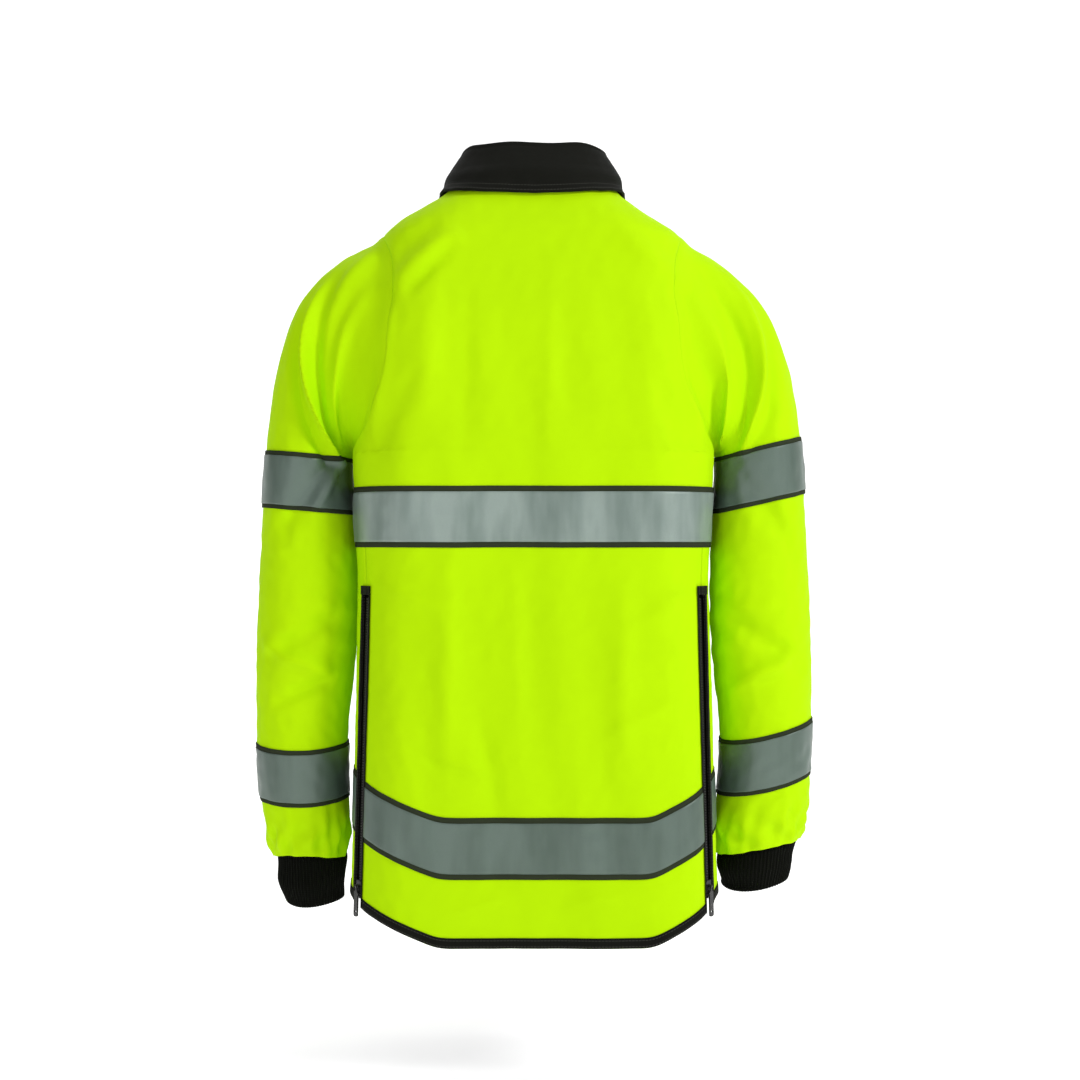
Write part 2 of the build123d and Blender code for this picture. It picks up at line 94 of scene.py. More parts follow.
def makeMesh(name, points, faces, uv=None, smooth=True):
    # an object from points, faces and one uv place per point
    mesh = bpy.data.meshes.new(name)
    points = np.asarray(points, float).reshape(-1, 3)
    mesh.from_pydata(points.tolist(), [], faces.tolist() if isinstance(faces, np.ndarray) else faces)
    if uv is not None:
        layer = mesh.uv_layers.new(name="uv")
        index = np.empty(len(mesh.loops), np.int32)
        mesh.loops.foreach_get("vertex_index", index)
        layer.data.foreach_set("uv", np.asarray(uv, np.float32).reshape(-1, 2)[index].ravel())
    mesh.polygons.foreach_set("use_smooth", np.full(len(mesh.polygons), smooth))
    mesh.validate()
    piece = bpy.data.objects.new(name, mesh)
    bpy.context.scene.collection.objects.link(piece)
    return piece


def gridFaces(rows, columns, wrap=False, flip=False):
    # one four-sided face between every two rows and two columns
    r, c = np.meshgrid(np.arange(rows - 1), np.arange(columns if wrap else columns - 1), indexing="ij")
    n = (c + 1) % columns
    faces = np.stack([r * columns + c, r * columns + n, (r + 1) * columns + n, (r + 1) * columns + c], -1)
    faces = faces.reshape(-1, 4)
    return faces[:, ::-1] if flip else faces


def gridUv(points):
    # lengths along the first row and down the first column, in metres
    across = np.cumsum(np.linalg.norm(np.diff(points, axis=1, prepend=points[:, :1]), axis=2), 1)
    along = np.cumsum(np.linalg.norm(np.diff(points, axis=0, prepend=points[:1]), axis=2), 0)
    middle = points.shape[1] // 2
    return np.stack([across - across[:, middle:middle + 1], along], -1)


def gridPiece(name, points, wrap=False, flip=False, uv=None):
    # an object from a grid of points, with uv in metres
    rows, columns = points.shape[:2]
    uv = gridUv(points) if uv is None else uv
    return makeMesh(name, points, gridFaces(rows, columns, wrap, flip), uv)


def thicken(piece, thickness, offset=-1, inner=None, rim=None):
    # gives a sheet its thickness; inner and rim choose the material behind it and along its edge
    solid = piece.modifiers.new("cloth", "SOLIDIFY")
    solid.thickness = thickness
    solid.offset = offset
    solid.use_even_offset = False
    if inner is not None:
        solid.material_offset = inner
    if rim is not None:
        solid.material_offset_rim = rim
    return piece


def finishPiece(piece, materialList, body, nodes=()):
    # materials, the body it rides on and the plain nodes it stands for
    for material in materialList:
        piece.data.materials.append(material)
    if body:
        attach(piece, body)
    if nodes:
        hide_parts(*nodes)
    return piece


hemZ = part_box("back_panel")[0].z
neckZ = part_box("back_panel")[1].z
torso = dict(
    level=[-0.80, -0.40, -0.27, -0.13, -0.036, -0.014, 0.010],
    halfWidth=[0.1928, 0.1830, 0.1885, 0.1850, 0.1605, 0.1320, 0.0870],
    back=[0.1210, 0.1130, 0.1230, 0.1150, 0.0930, 0.0820, 0.0690],
    backCorner=[0.072, 0.072, 0.076, 0.078, 0.074, 0.070, 0.060],
    frontCorner=[0.052, 0.052, 0.056, 0.062, 0.070, 0.068, 0.060],
    closureTop=-0.060, closureReach=0.100, closureSlope=0.045, neckFront=0.078,
    seamTurn=math.radians(32),
    hemLift=0.043, liftLeft=(0.096, 0.206), liftRight=(0.120, 0.214), liftFade=(-0.47, -0.63),
    armLow=-0.268, armHigh=-0.036, armBack=0.44, armFront=0.46, armRound=2.5,
)

armMiddle = (torso["armLow"] + torso["armHigh"]) / 2
armHalf = (torso["armHigh"] - torso["armLow"]) / 2


def frontReach(z):
    # how far forward the front lies: the closure's straight slope, eased into the neck
    straight = torso["closureReach"] + (torso["closureTop"] - z) * torso["closureSlope"]
    toNeck = smoothStep(z, -0.05, 0.03)
    return lerp(straight, torso["neckFront"] - 0.004, toNeck)


def ringSizes(z):
    # half the width, the reach back and the reach forward at height z
    half = smoothInterp(z, torso["level"], torso["halfWidth"])
    back = smoothInterp(z, torso["level"], torso["back"])
    return half, back, frontReach(z)


def quarterPath(d, half, depth, corner):
    # a quarter of a rounded rectangle, d metres from its middle: a straight, an arc, a straight,
    # carried on as a mirror image past both of its ends
    arc = corner * math.pi / 2
    total = half - corner + arc + depth - corner
    signX = np.where(d < 0, -1.0, 1.0)
    d = np.abs(d)
    signY = np.where(d > total, -1.0, 1.0)
    d = np.where(d > total, 2 * total - d, d)
    turn = np.clip((d - (half - corner)) / corner, 0, math.pi / 2)
    x = np.where(d < half - corner, d, half - corner + corner * np.sin(turn))
    y = np.where(d < half - corner + arc, depth - corner + corner * np.cos(turn), total - d)
    return x * signX, y * signY


def ringPoint(c, z):
    # c runs round the coat: 0 at the middle of the front, 1 at the wearer's left side, 2 at the
    # middle of the back, and the same with a minus sign down the right
    c, z = np.broadcast_arrays(np.asarray(c, float), np.asarray(z, float))
    side = np.where(c < 0, -1.0, 1.0)
    c = np.abs(c)
    onBack = c > 1
    half, back, front = ringSizes(z)
    corner = np.where(
        onBack,
        smoothInterp(z, torso["level"], torso["backCorner"]),
        smoothInterp(z, torso["level"], torso["frontCorner"]),
    )
    depth = np.where(onBack, back, front)
    total = half + depth - 2 * corner + corner * math.pi / 2
    d = np.where(onBack, 2 - c, c) * total
    x, y, weight = 0.0, 0.0, 0.0
    for step in np.linspace(-2, 2, 9):
        share = math.exp(-step * step / 1.4)
        px, py = quarterPath(d + step * 0.011, half, depth, corner)
        x, y, weight = x + share * px, y + share * py, weight + share
    # the right shoulder hangs a little lower than the left one
    slack = np.where(side < 0, 1 - 0.085 * bump(z, -0.014, 0.024), 1.0)
    return np.stack([side * slack * x / weight, np.where(onBack, 1, -1) * y / weight, z], -1)


def frontLength(z):
    # metres from the middle of the front to the side, round the front corner
    half, back, front = ringSizes(z)
    return half + front - 0.112 + 0.056 * math.pi / 2


def backLength(z):
    # metres from the middle of the back to the side, round the back corner
    half, back, front = ringSizes(z)
    return half + back - 0.032


def seamC(z):
    # where the side seam runs, round the back corner, and forward to the underarm at its top
    half, back, front = ringSizes(z)
    corner = smoothInterp(z, torso["level"], torso["backCorner"])
    total = half + back - 2 * corner + corner * math.pi / 2
    low = 2 - (half - corner + corner * (math.pi / 2 - torso["seamTurn"])) / total
    return lerp(low, 1.0, smoothStep(z, -0.345, torso["armLow"]))


def armC(beta, back):
    # the armhole is a full oval round the side: beta is its angle, from -90 degrees at the underarm
    depth = torso["armBack"] if back else torso["armFront"]
    roundness = torso["armRound"]
    u = np.clip(np.abs(np.sin(beta)), 0, 1)
    reach = (1 - u ** roundness) ** (1 / roundness)
    return 1 + (depth if back else -depth) * reach


def hemRise(c, z):
    # metres by which the hem and its band rise towards the sides, fading out up the coat
    half, back, front = ringSizes(z)
    onRight = c < 0
    c = np.abs(c)
    onBack = c > 1
    corner = np.where(onBack, torso["backCorner"][0], torso["frontCorner"][0])
    depth = np.where(onBack, back, front)
    d = np.where(onBack, 2 - c, c) * (half + depth - 2 * corner + corner * math.pi / 2)
    start = np.where(onRight & onBack, torso["liftRight"][0], torso["liftLeft"][0])
    stop = np.where(onRight & onBack, torso["liftRight"][1], torso["liftLeft"][1])
    soft = 0.0045
    ramp = soft * np.log1p(np.exp((d - start) / soft))
    ramp = ramp - soft * np.log1p(np.exp((d - stop) / soft))
    rise = torso["hemLift"] * ramp / (stop - start)
    return rise * (1 - smoothStep(z, torso["liftFade"][1], torso["liftFade"][0]))


wave = np.random.default_rng(11)
rippleSet = [
    (wave.uniform(0.045, 0.16), wave.uniform(0, 6.28), wave.uniform(0.6, 1.0), wave.uniform(-0.12, 0.12))
    for _ in range(9)
]
crumpleSet = [
    (wave.uniform(0.018, 0.05), wave.uniform(0, 3.14), wave.uniform(0, 6.28), wave.uniform(0.4, 1.0))
    for _ in range(22)
]


def ripples(q, z):
    # soft upright waves: a sum of cosines across the cloth that lean a little
    total = 0.0
    for length, phase, height, lean in rippleSet:
        along = q + lean * z + 0.01 * np.sin(z * 14 + phase)
        total = total + height * np.cos(2 * math.pi * along / length + phase)
    return total / len(rippleSet)


def crumple(q, z):
    # small dents: a sum of cosines in every direction, multiplied so that they come and go
    total = 0.0
    for length, turn, phase, height in crumpleSet:
        along = q * math.cos(turn) + z * math.sin(turn)
        other = q * math.sin(turn) - z * math.cos(turn)
        total = total + height * np.cos(2 * math.pi * along / length + phase) * np.cos(
            2 * math.pi * other / (length * 2.7) + 2 * phase)
    return total / len(crumpleSet)


def crease(q, z, q0, z0, q1, z1, height, width, skew=0.0):
    # a fold along a line: a bell across it, which fades towards both of its ends
    dq, dz = q1 - q0, z1 - z0
    length = math.hypot(dq, dz)
    t = ((q - q0) * dq + (z - z0) * dz) / length ** 2
    off = ((q - q0) * dz - (z - z0) * dq) / length
    fade = np.clip(1 - (2 * t - 1) ** 2 * 0.9, 0, 1) * (np.abs(2 * t - 1) < 1.05)
    return height * fade * (np.exp(-(off / width) ** 2) + skew * (off / width) * np.exp(-(off / width) ** 2))


def girth(c, z):
    # metres round the coat from the middle of the back (on the back) or of the front
    c = np.abs(c)
    half, back, front = ringSizes(z)
    return np.where(c > 1, (2 - c) * (half + back - 0.032), c * (half + front - 0.024))


backFolds = [  # q, z at each end, height and width, all in metres
    (0.075, -0.040, 0.150, -0.100, 0.0050, 0.011, 0.4),
    (0.095, -0.030, 0.155, -0.070, -0.0030, 0.010, 0.0),
    (-0.085, -0.045, -0.150, -0.095, 0.0036, 0.011, 0.3),
    (0.150, -0.120, 0.176, -0.262, 0.0042, 0.009, 0.5),
    (-0.150, -0.125, -0.178, -0.268, 0.0050, 0.010, 0.4),
    (0.120, -0.180, 0.166, -0.285, -0.0022, 0.012, 0.0),
    (-0.115, -0.170, -0.160, -0.290, -0.0022, 0.013, 0.0),
    (0.034, -0.594, 0.086, -0.582, 0.0020, 0.006, 0.0),
    (0.055, -0.600, 0.130, -0.575, -0.0016, 0.008, 0.0),
    (-0.060, -0.560, -0.150, -0.520, 0.0020, 0.010, 0.0),
    (0.090, -0.430, 0.165, -0.400, 0.0020, 0.010, 0.0),
    (-0.100, -0.450, -0.168, -0.405, 0.0022, 0.010, 0.0),
    (0.020, -0.715, 0.090, -0.735, 0.0014, 0.008, 0.0),
    (-0.030, -0.725, -0.100, -0.712, 0.0014, 0.008, 0.0),
    (0.100, -0.075, 0.110, -0.240, 0.0022, 0.013, 0.0),
    (-0.020, -0.060, -0.014, -0.300, 0.0014, 0.010, 0.0),
    (0.086, -0.360, 0.092, -0.640, 0.0026, 0.012, 0.3),
    (-0.092, -0.380, -0.084, -0.620, 0.0022, 0.012, 0.3),
    (0.020, -0.370, 0.014, -0.560, 0.0016, 0.010, 0.0),
    (0.058, -0.520, 0.034, -0.650, -0.0018, 0.009, 0.0),
    (0.080, -0.052, 0.134, -0.108, -0.0045, 0.007, 0.3),
    (0.064, -0.080, 0.070, -0.300, -0.0014, 0.010, 0.0),
]


def torsoFold(c, z):
    # outward displacement of the cloth: upright ripples, small dents and the single folds
    side = np.where(c < 0, -1.0, 1.0)
    q = side * girth(c, z)
    onBack = np.abs(c) > 1
    low = smoothStep(-z, 0.05, 0.20)
    seam = 1 - 0.75 * bump(np.abs(c), seamC(z), 0.06)
    back = 0.0042 * ripples(q, z) * low * (1 + 0.8 * bump(z, -0.335, 0.05)) + 0.0022 * crumple(q, z)
    for q0, z0, q1, z1, height, width, skew in backFolds:
        back = back + crease(q, z, q0, z0, q1, z1, 1.35 * height, width, skew)
    u = np.clip(np.abs(z - armMiddle) / armHalf, 0, 1)
    reach = (1 - u ** torso["armRound"]) ** (1 / torso["armRound"])
    edge = 1 + np.where(onBack, torso["armBack"], -torso["armFront"]) * reach
    groove = -0.0018 * bump(np.abs(c), edge, 0.013) * (u < 0.999)
    groove = groove * smoothStep(1 - u, 0, np.where(z > armMiddle, 0.20, 0.06))
    free = smoothStep(np.abs(q), 0.030, 0.070)
    front = free * (0.0024 * ripples(q + 0.5, z) * low + 0.0018 * crumple(q + 0.7, z))
    underPocket = bump(np.abs(q), 0.095, 0.055) * smoothStep(-z, 0.42, 0.45) * smoothStep(z, -0.64, -0.61)
    front = front * (1 - 0.8 * underPocket)
    return np.where(onBack, back, front) * seam + groove


def clothPoint(c, z, out=0.0):
    # the shell's face at c and pattern height z, moved out along the normal of the smooth body
    c = np.asarray(c, float)
    c = np.where(c > 2, c - 4, np.where(c < -2, c + 4, c))
    c, z = np.broadcast_arrays(c, np.asarray(z, float))
    lifted = z + hemRise(c, z)
    here = ringPoint(c, lifted)
    stepC, stepZ = 0.004, 0.002
    across = ringPoint(c + stepC, lifted) - ringPoint(c - stepC, lifted)
    up = ringPoint(c, lifted + stepZ) - ringPoint(c, lifted - stepZ)
    normal = unitVectors(np.cross(across, up))
    return here + normal * (torsoFold(c, z) + out)[..., None], normal


# rows of the torso: plain below the armhole, then evenly spaced angles round it, then the yoke
rows = dict(below=150, arm=56, above=14)
armBeta = np.linspace(-math.pi / 2, math.pi / 2, rows["arm"] + 1)
armZ = armMiddle + armHalf * np.sin(armBeta)
panelZ = np.concatenate([
    np.linspace(hemZ, torso["armLow"], rows["below"] + 1)[:-1],
    armZ,
    np.linspace(torso["armHigh"], neckZ, rows["above"] + 1)[1:],
])
isArm = (panelZ >= torso["armLow"] - 1e-9) & (panelZ <= torso["armHigh"] + 1e-9)
panelBeta = np.zeros_like(panelZ)
panelBeta[isArm] = armBeta


def panelEdges(back):
    # how far round each row of a panel reaches, at its side seam, armhole or shoulder seam
    edge = np.where(panelZ < torso["armLow"], seamC(panelZ), 1.0)
    return np.where(isArm, armC(panelBeta, back), edge)


print("torso surface ready")


sleeve = dict(
    # each loop of the sleeve, from the armhole to the wrist: the place of its top (or outer) point and
    # of its bottom (or inner) point in x and z, its half depth and the y of its middle, in millimetres
    loops=[
        (198, -57, 188.5, -267, 76, 0),
        (229, -79, 190, -265.5, 76, 0),
        (253, -112, 192, -265, 76, 0),
        (269, -160, 193.5, -267, 75, 0),
        (279, -214, 195, -274, 72, 0),
        (285, -268, 195.5, -292, 69, 0),
        (288, -330, 191.5, -330, 66, 0),
        (290.5, -372, 189, -372, 64, -1),
        (294, -430, 188, -430, 63, -3),
        (296, -496, 190, -496, 62, -4),
        (296, -560, 194, -560, 59, -7),
        (294, -611, 196, -611, 57, -9),
        (291, -642, 197, -642, 54, -10),
        (286, -670, 199, -670, 50, -11),
        (279, -694, 201, -694, 46, -12),
    ],
    splitLoop=8,
    fullness=2.35,
    upperRows=132,
    lowerRows=124,
)
loopAngle = np.concatenate([armBeta, math.pi - armBeta[::-1][1:-1]])


def rowsThrough(loops, places, targets):
    # straight lines between the loops, then averaged along the sleeve so that it bends smoothly
    index = np.clip(np.searchsorted(places, targets, side="right") - 1, 0, len(places) - 2)
    t = (targets - places[index]) / (places[index + 1] - places[index])
    grid = loops[index] * (1 - t)[:, None, None] + loops[index + 1] * t[:, None, None]
    first, last = grid[:2].copy(), grid[-1].copy()
    for _ in range(40):
        grid[1:-1] = grid[1:-1] * 0.5 + (grid[:-2] + grid[2:]) * 0.25
    grid[0], grid[-1] = first[0], last
    return grid


def sleeveGrid(side, armLoop):
    # the whole sleeve without folds: rows from armhole to wrist, columns round it
    table = np.array(sleeve["loops"]) / 1000
    power = 2 / sleeve["fullness"]
    sine = np.sign(np.sin(loopAngle)) * np.abs(np.sin(loopAngle)) ** power
    cosine = np.sign(np.cos(loopAngle)) * np.abs(np.cos(loopAngle)) ** power
    if side < 0:
        table[:5, 1] -= np.array([0.008, 0.011, 0.011, 0.009, 0.004])
    top = np.stack([table[:, 0] * side, table[:, 5], table[:, 1]], -1)
    low = np.stack([table[:, 2] * side, table[:, 5], table[:, 3]], -1)
    middle, half = (top + low) / 2, (top - low) / 2
    loops = middle[:, None] + half[:, None] * sine[None, :, None]
    loops[:, :, 1] += table[:, 4][:, None] * cosine[None, :]
    loops = np.concatenate([armLoop[None], loops])
    reach = np.linalg.norm(np.diff(loops, axis=0), axis=2).mean(1)
    places = np.concatenate([[0], np.cumsum(reach)])
    split = places[sleeve["splitLoop"]]
    targets = np.concatenate([
        np.linspace(0, split, sleeve["upperRows"] + 1),
        np.linspace(split, places[-1], sleeve["lowerRows"] + 1)[1:],
    ])
    return rowsThrough(loops, places, targets), targets


wristShape = {
    1: dict(slant=-0.001, wave=0.003, wider=0.000, lift=0.001, short=0.004),
    -1: dict(slant=0.008, wave=0.001, wider=0.006, lift=0.010, short=0.014),
}
sleeveFolds = {
    # t0, angle0 -> t1, angle1 along the sleeve in metres and round it in degrees, height and width
    1: [
        (0.060, 52, 0.165, -58, -0.0080, 0.0065),
        (0.045, 46, 0.150, -62, 0.0048, 0.0095),
        (0.070, 62, 0.185, -50, 0.0040, 0.0100),
        (0.020, 30, 0.110, -50, -0.0030, 0.0070),
        (0.140, -66, 0.235, -8, -0.0034, 0.0070),
        (0.012, 62, 0.075, 12, -0.0040, 0.010),
        (0.160, -40, 0.260, 30, 0.0035, 0.014),
        (0.330, -50, 0.385, 40, 0.0030, 0.012),
        (0.365, 50, 0.405, -50, -0.0030, 0.010),
        (0.400, -45, 0.430, 30, 0.0032, 0.010),
        (0.010, 118, 0.150, 225, -0.0050, 0.012),
        (0.350, 210, 0.390, 140, -0.0030, 0.012),
        (0.400, 220, 0.430, 150, -0.0030, 0.012),
    ],
    -1: [
        (0.015, 22, 0.115, -62, -0.0080, 0.0130),
        (0.020, 50, 0.150, -48, 0.0044, 0.0105),
        (0.050, 58, 0.150, -30, -0.0034, 0.0065),
        (0.075, 60, 0.165, -20, 0.0035, 0.012),
        (0.180, -30, 0.280, 40, 0.0030, 0.014),
        (0.330, -50, 0.395, 50, 0.0032, 0.013),
        (0.370, 40, 0.420, -55, -0.0034, 0.010),
        (0.010, 118, 0.150, 225, -0.0050, 0.012),
        (0.350, 210, 0.390, 140, -0.0030, 0.012),
        (0.410, 220, 0.440, 150, -0.0030, 0.012),
    ],
}


def foldedSleeve(side, armLoop):
    # the sleeve with its folds: slanted creases, waves at the elbow and gathers above the cuff
    grid, t = sleeveGrid(side, armLoop)
    normal = gridNormals(grid, wrap=True) * (-side)
    angle = np.degrees((loopAngle + math.pi / 2) % (2 * math.pi)) - 90
    turn = np.radians(angle)
    radius = 0.058
    q = turn[None, :] * radius
    tt = t[:, None] + 0 * q
    qq = q + 0 * tt
    fold = 0.0034 * crumple(qq + side, tt * 1.1)
    for t0, a0, t1, a1, height, width in sleeveFolds[side]:
        q0, q1 = math.radians(a0) * radius, math.radians(a1) * radius
        fold = fold + crease(qq, tt, q0, t0, q1, t1, 1.9 * height, 0.85 * width)
    end = t[-1]
    elbow = bump(tt, end - 0.245, 0.055)
    inside = 1 - smoothStep(np.sin(turn), -0.1, 0.7)[None, :]
    waves = np.cos(2 * math.pi * (tt + 0.18 * qq) / 0.034)
    fold = fold + 0.0012 * inside * elbow * waves * (0.6 + 0.4 * np.cos(turn)[None, :])
    gather = smoothStep(tt, end - 0.075, end - 0.012)
    puckers = 0.0022 * np.sin(turn * 9 + 3 * np.sin(tt * 60)) + 0.0012 * np.sin(turn * 17 + side)
    fold = fold + gather * puckers
    fold = fold + 0.0022 * smoothStep(tt, 0.001, 0.009) * (1 - smoothStep(tt, 0.014, 0.05))
    fold = fold * smoothStep(tt, 0.0, 0.016) * (1 - smoothStep(tt, end - 0.010, end) * 0.6)
    # near the underarm the loops lie close together, so the folds die out there
    crowd = smoothStep(np.linalg.norm(grid - np.array([0.187 * side, 0, -0.268]), axis=2), 0.012, 0.06)
    fold = fold * crowd
    points = grid + normal * fold[..., None]
    # the wrist ends on a slant, and wider on the right
    endings = wristShape[side]
    low = smoothStep(tt, end - 0.11, end)
    outward = (points[..., 0] * side - 0.240) / 0.04
    rise = endings["lift"] + endings["slant"] * outward + endings["wave"] * np.sin(2 * turn + 1)[None, :]
    points[..., 2] += low * rise
    points[..., 0] += side * low * outward * endings["wider"]
    # the side next to the body hangs a little away from it
    clear = bump(tt, end - 0.125, 0.085) * (1 - smoothStep(tt, end - 0.070, end - 0.010))
    clear = clear * (1 - smoothStep(outward, -1.1, 0.4))
    points[..., 0] += side * 0.0058 * clear
    return points, t


def onSleeve(points, normal, height):
    # for each column the place on the sleeve where z reaches the given height, between two rows
    falling = np.minimum.accumulate(points[..., 2], axis=0)
    above = (falling[None] > height[:, None, :]).sum(1)
    low = np.clip(above - 1, 0, len(points) - 2)
    column = np.arange(points.shape[1])[None, :]
    z0, z1 = falling[low, column], falling[low + 1, column]
    t = np.clip((z0 - height) / np.maximum(z0 - z1, 1e-6), 0, 1)[..., None]
    where = points[low, column] * (1 - t) + points[low + 1, column] * t
    return where, unitVectors(normal[low, column] * (1 - t) + normal[low + 1, column] * t)


def armLoopPoints(back, front):
    # the armhole's edge on the back panel, then on the front panel, as one loop
    return np.concatenate([back, front[::-1][1:-1]])


print("sleeve surface ready")


class Nodes:
    # a short way to add nodes to a tree and wire them
    def __init__(self, tree):
        self.tree = tree

    def add(self, kind, *inputs, **settings):
        # a node with its settings, its inputs given in their order
        node = self.tree.nodes.new(kind)
        for key, value in settings.items():
            setattr(node, key, value)
        for place, value in enumerate(inputs):
            self.put(node, place, value)
        return node

    def put(self, node, place, value):
        # wires a socket to the input, or sets its plain value
        if isinstance(value, bpy.types.NodeSocket):
            self.tree.links.new(value, node.inputs[place])
        elif value is not None:
            node.inputs[place].default_value = value

    def named(self, kind, **inputs):
        # a node whose inputs are given by name, as its first output
        node = self.add(kind)
        for name, value in inputs.items():
            self.put(node, name, value)
        return node.outputs[0]

    def math(self, operation, *values):
        # one step of arithmetic on up to three values
        return self.add("ShaderNodeMath", *values, operation=operation).outputs[0]

    def mixColour(self, factor, a, b):
        # colour a, turning to b as the factor rises to 1
        node = self.add("ShaderNodeMix", data_type="RGBA")
        places = {socket.identifier: place for place, socket in enumerate(node.inputs)}
        for name, value in (("Factor_Float", factor), ("A_Color", a), ("B_Color", b)):
            self.put(node, places[name], (*value, 1) if isinstance(value, tuple) else value)
        return next(s for s in node.outputs if s.identifier == "Result_Color")

    def noise(self, vector, scale, detail=3.0, roughness=0.55):
        # fractal noise from 0 to 1
        inputs = dict(Vector=vector, Scale=scale, Detail=detail, Roughness=roughness)
        return self.named("ShaderNodeTexNoise", **inputs)

    def bumpNormal(self, height, strength, distance, normal=None):
        # a normal tilted by the slope of the height
        inputs = dict(Strength=strength, Distance=distance, Height=height, Normal=normal)
        return self.named("ShaderNodeBump", **inputs)


def newGroup(name, inputs, outputs):
    # an empty node group with named sockets, and its two end nodes
    tree = bpy.data.node_groups.new(name, "ShaderNodeTree")
    for socketName, kind in inputs:
        tree.interface.new_socket(socketName, in_out="INPUT", socket_type=kind)
    for socketName, kind in outputs:
        tree.interface.new_socket(socketName, in_out="OUTPUT", socket_type=kind)
    n = Nodes(tree)
    return tree, n, n.add("NodeGroupInput"), n.add("NodeGroupOutput")


def makeWeave():
    # plain weave: the product of two sines says which thread is on top, and each thread is rounded
    tree, n, gin, gout = newGroup(
        "weave",
        [("Vector", "NodeSocketVector"), ("Threads", "NodeSocketFloat")],
        [("Height", "NodeSocketFloat"), ("Gap", "NodeSocketFloat")],
    )
    parts = n.add("ShaderNodeSeparateXYZ", gin.outputs[0])
    across = n.math("MULTIPLY", n.math("MULTIPLY", parts.outputs[0], gin.outputs[1]), math.pi)
    along = n.math("MULTIPLY", n.math("MULTIPLY", parts.outputs[1], gin.outputs[1]), math.pi)
    over = n.math("MULTIPLY", n.math("SINE", across), n.math("SINE", along))
    threadA = n.math("ABSOLUTE", n.math("SINE", across))
    threadB = n.math("ABSOLUTE", n.math("SINE", along))
    warp = n.math("MULTIPLY", threadA, n.math("MULTIPLY_ADD", over, 0.5, 0.5))
    weft = n.math("MULTIPLY", threadB, n.math("MULTIPLY_ADD", over, -0.5, 0.5))
    height = n.math("MAXIMUM", warp, weft)
    n.put(gout, 0, height)
    n.put(gout, 1, n.math("SUBTRACT", 1.0, height))
    return tree


def makeHandled():
    # slow changes of tone, small scuffs and lint, in three sizes of noise
    tree, n, gin, gout = newGroup(
        "handled",
        [("Vector", "NodeSocketVector"), ("Size", "NodeSocketFloat")],
        [("Tone", "NodeSocketFloat"), ("Scuff", "NodeSocketFloat"), ("Crumple", "NodeSocketFloat")],
    )
    vector, size = gin.outputs[0], gin.outputs[1]
    slow = n.noise(vector, n.math("MULTIPLY", size, 7.0), 2.0)
    fine = n.noise(vector, n.math("MULTIPLY", size, 60.0), 4.0)
    small = n.noise(vector, n.math("MULTIPLY", size, 420.0), 2.0)
    tone = n.math("ADD", n.math("MULTIPLY", slow, 0.65), n.math("MULTIPLY", fine, 0.35))
    scuff = n.math("MULTIPLY", n.math("GREATER_THAN", small, 0.66), n.math("GREATER_THAN", fine, 0.52))
    n.put(gout, 0, tone)
    n.put(gout, 1, scuff)
    n.put(gout, 2, fine)
    return tree


def makeStitch():
    # a row of stitches along u at the place v = 0: rounded dashes with a gap between them
    tree, n, gin, gout = newGroup(
        "stitch",
        [("Along", "NodeSocketFloat"), ("Across", "NodeSocketFloat")],
        [("Thread", "NodeSocketFloat")],
    )
    phase = n.math("ABSOLUTE", n.math("SINE", n.math("MULTIPLY", gin.outputs[0], math.pi / 0.0034)))
    on = n.math("GREATER_THAN", phase, 0.42)
    near = n.math("LESS_THAN", n.math("ABSOLUTE", gin.outputs[1]), 0.00045)
    n.put(gout, 0, n.math("MULTIPLY", on, near))
    return tree


groups = dict(weave=makeWeave(), handled=makeHandled(), stitch=makeStitch())


def useGroup(n, name, *inputs):
    # a node that uses one of the groups above
    return n.add("ShaderNodeGroup", *inputs, node_tree=groups[name])


def newMaterial(name):
    # a material with its node helper, its shader and its texture coordinates
    material = bpy.data.materials.new(name)
    material.use_nodes = True
    n = Nodes(material.node_tree)
    shader = material.node_tree.nodes["Principled BSDF"]
    place = n.add("ShaderNodeTexCoord")
    return material, n, shader, place


# the dark and the light tone of each finish, and on hard parts the tone of the worn places
colours = dict(
    lime=((0.405, 0.700, 0.0), (0.475, 0.800, 0.0)),
    black=((0.0045, 0.0048, 0.0034), (0.0095, 0.0100, 0.0072)),
    lining=((0.010, 0.011, 0.012), (0.022, 0.024, 0.026)),
    backing=((0.020, 0.026, 0.014), (0.040, 0.050, 0.026)),
    zip=((0.010, 0.010, 0.009), (0.018, 0.018, 0.016)),
    # knit: its dark tone is painted shade down between the loops, its light tone the loops' tops
    knit=((0.0008, 0.0010, 0.0005), (0.0050, 0.0058, 0.0034)),
    # silver: its light tone is the chest tape in painted light, its dark tone the same tape in painted shade;
    # the next silver is a darker copy of the same tape, painted shade for the hem and sleeve bands
    silver=((0.120, 0.170, 0.148), (0.315, 0.385, 0.352)),
    silverShaded=((0.068, 0.103, 0.080), (0.128, 0.178, 0.150)),
    enamel=((0.012, 0.012, 0.012), (0.022, 0.022, 0.022), (0.30, 0.29, 0.27)),
    coil=((0.014, 0.014, 0.014), (0.024, 0.024, 0.024), (0.05, 0.05, 0.05)),
    snap=((0.015, 0.015, 0.016), (0.028, 0.028, 0.030), (0.34, 0.33, 0.31)),
)


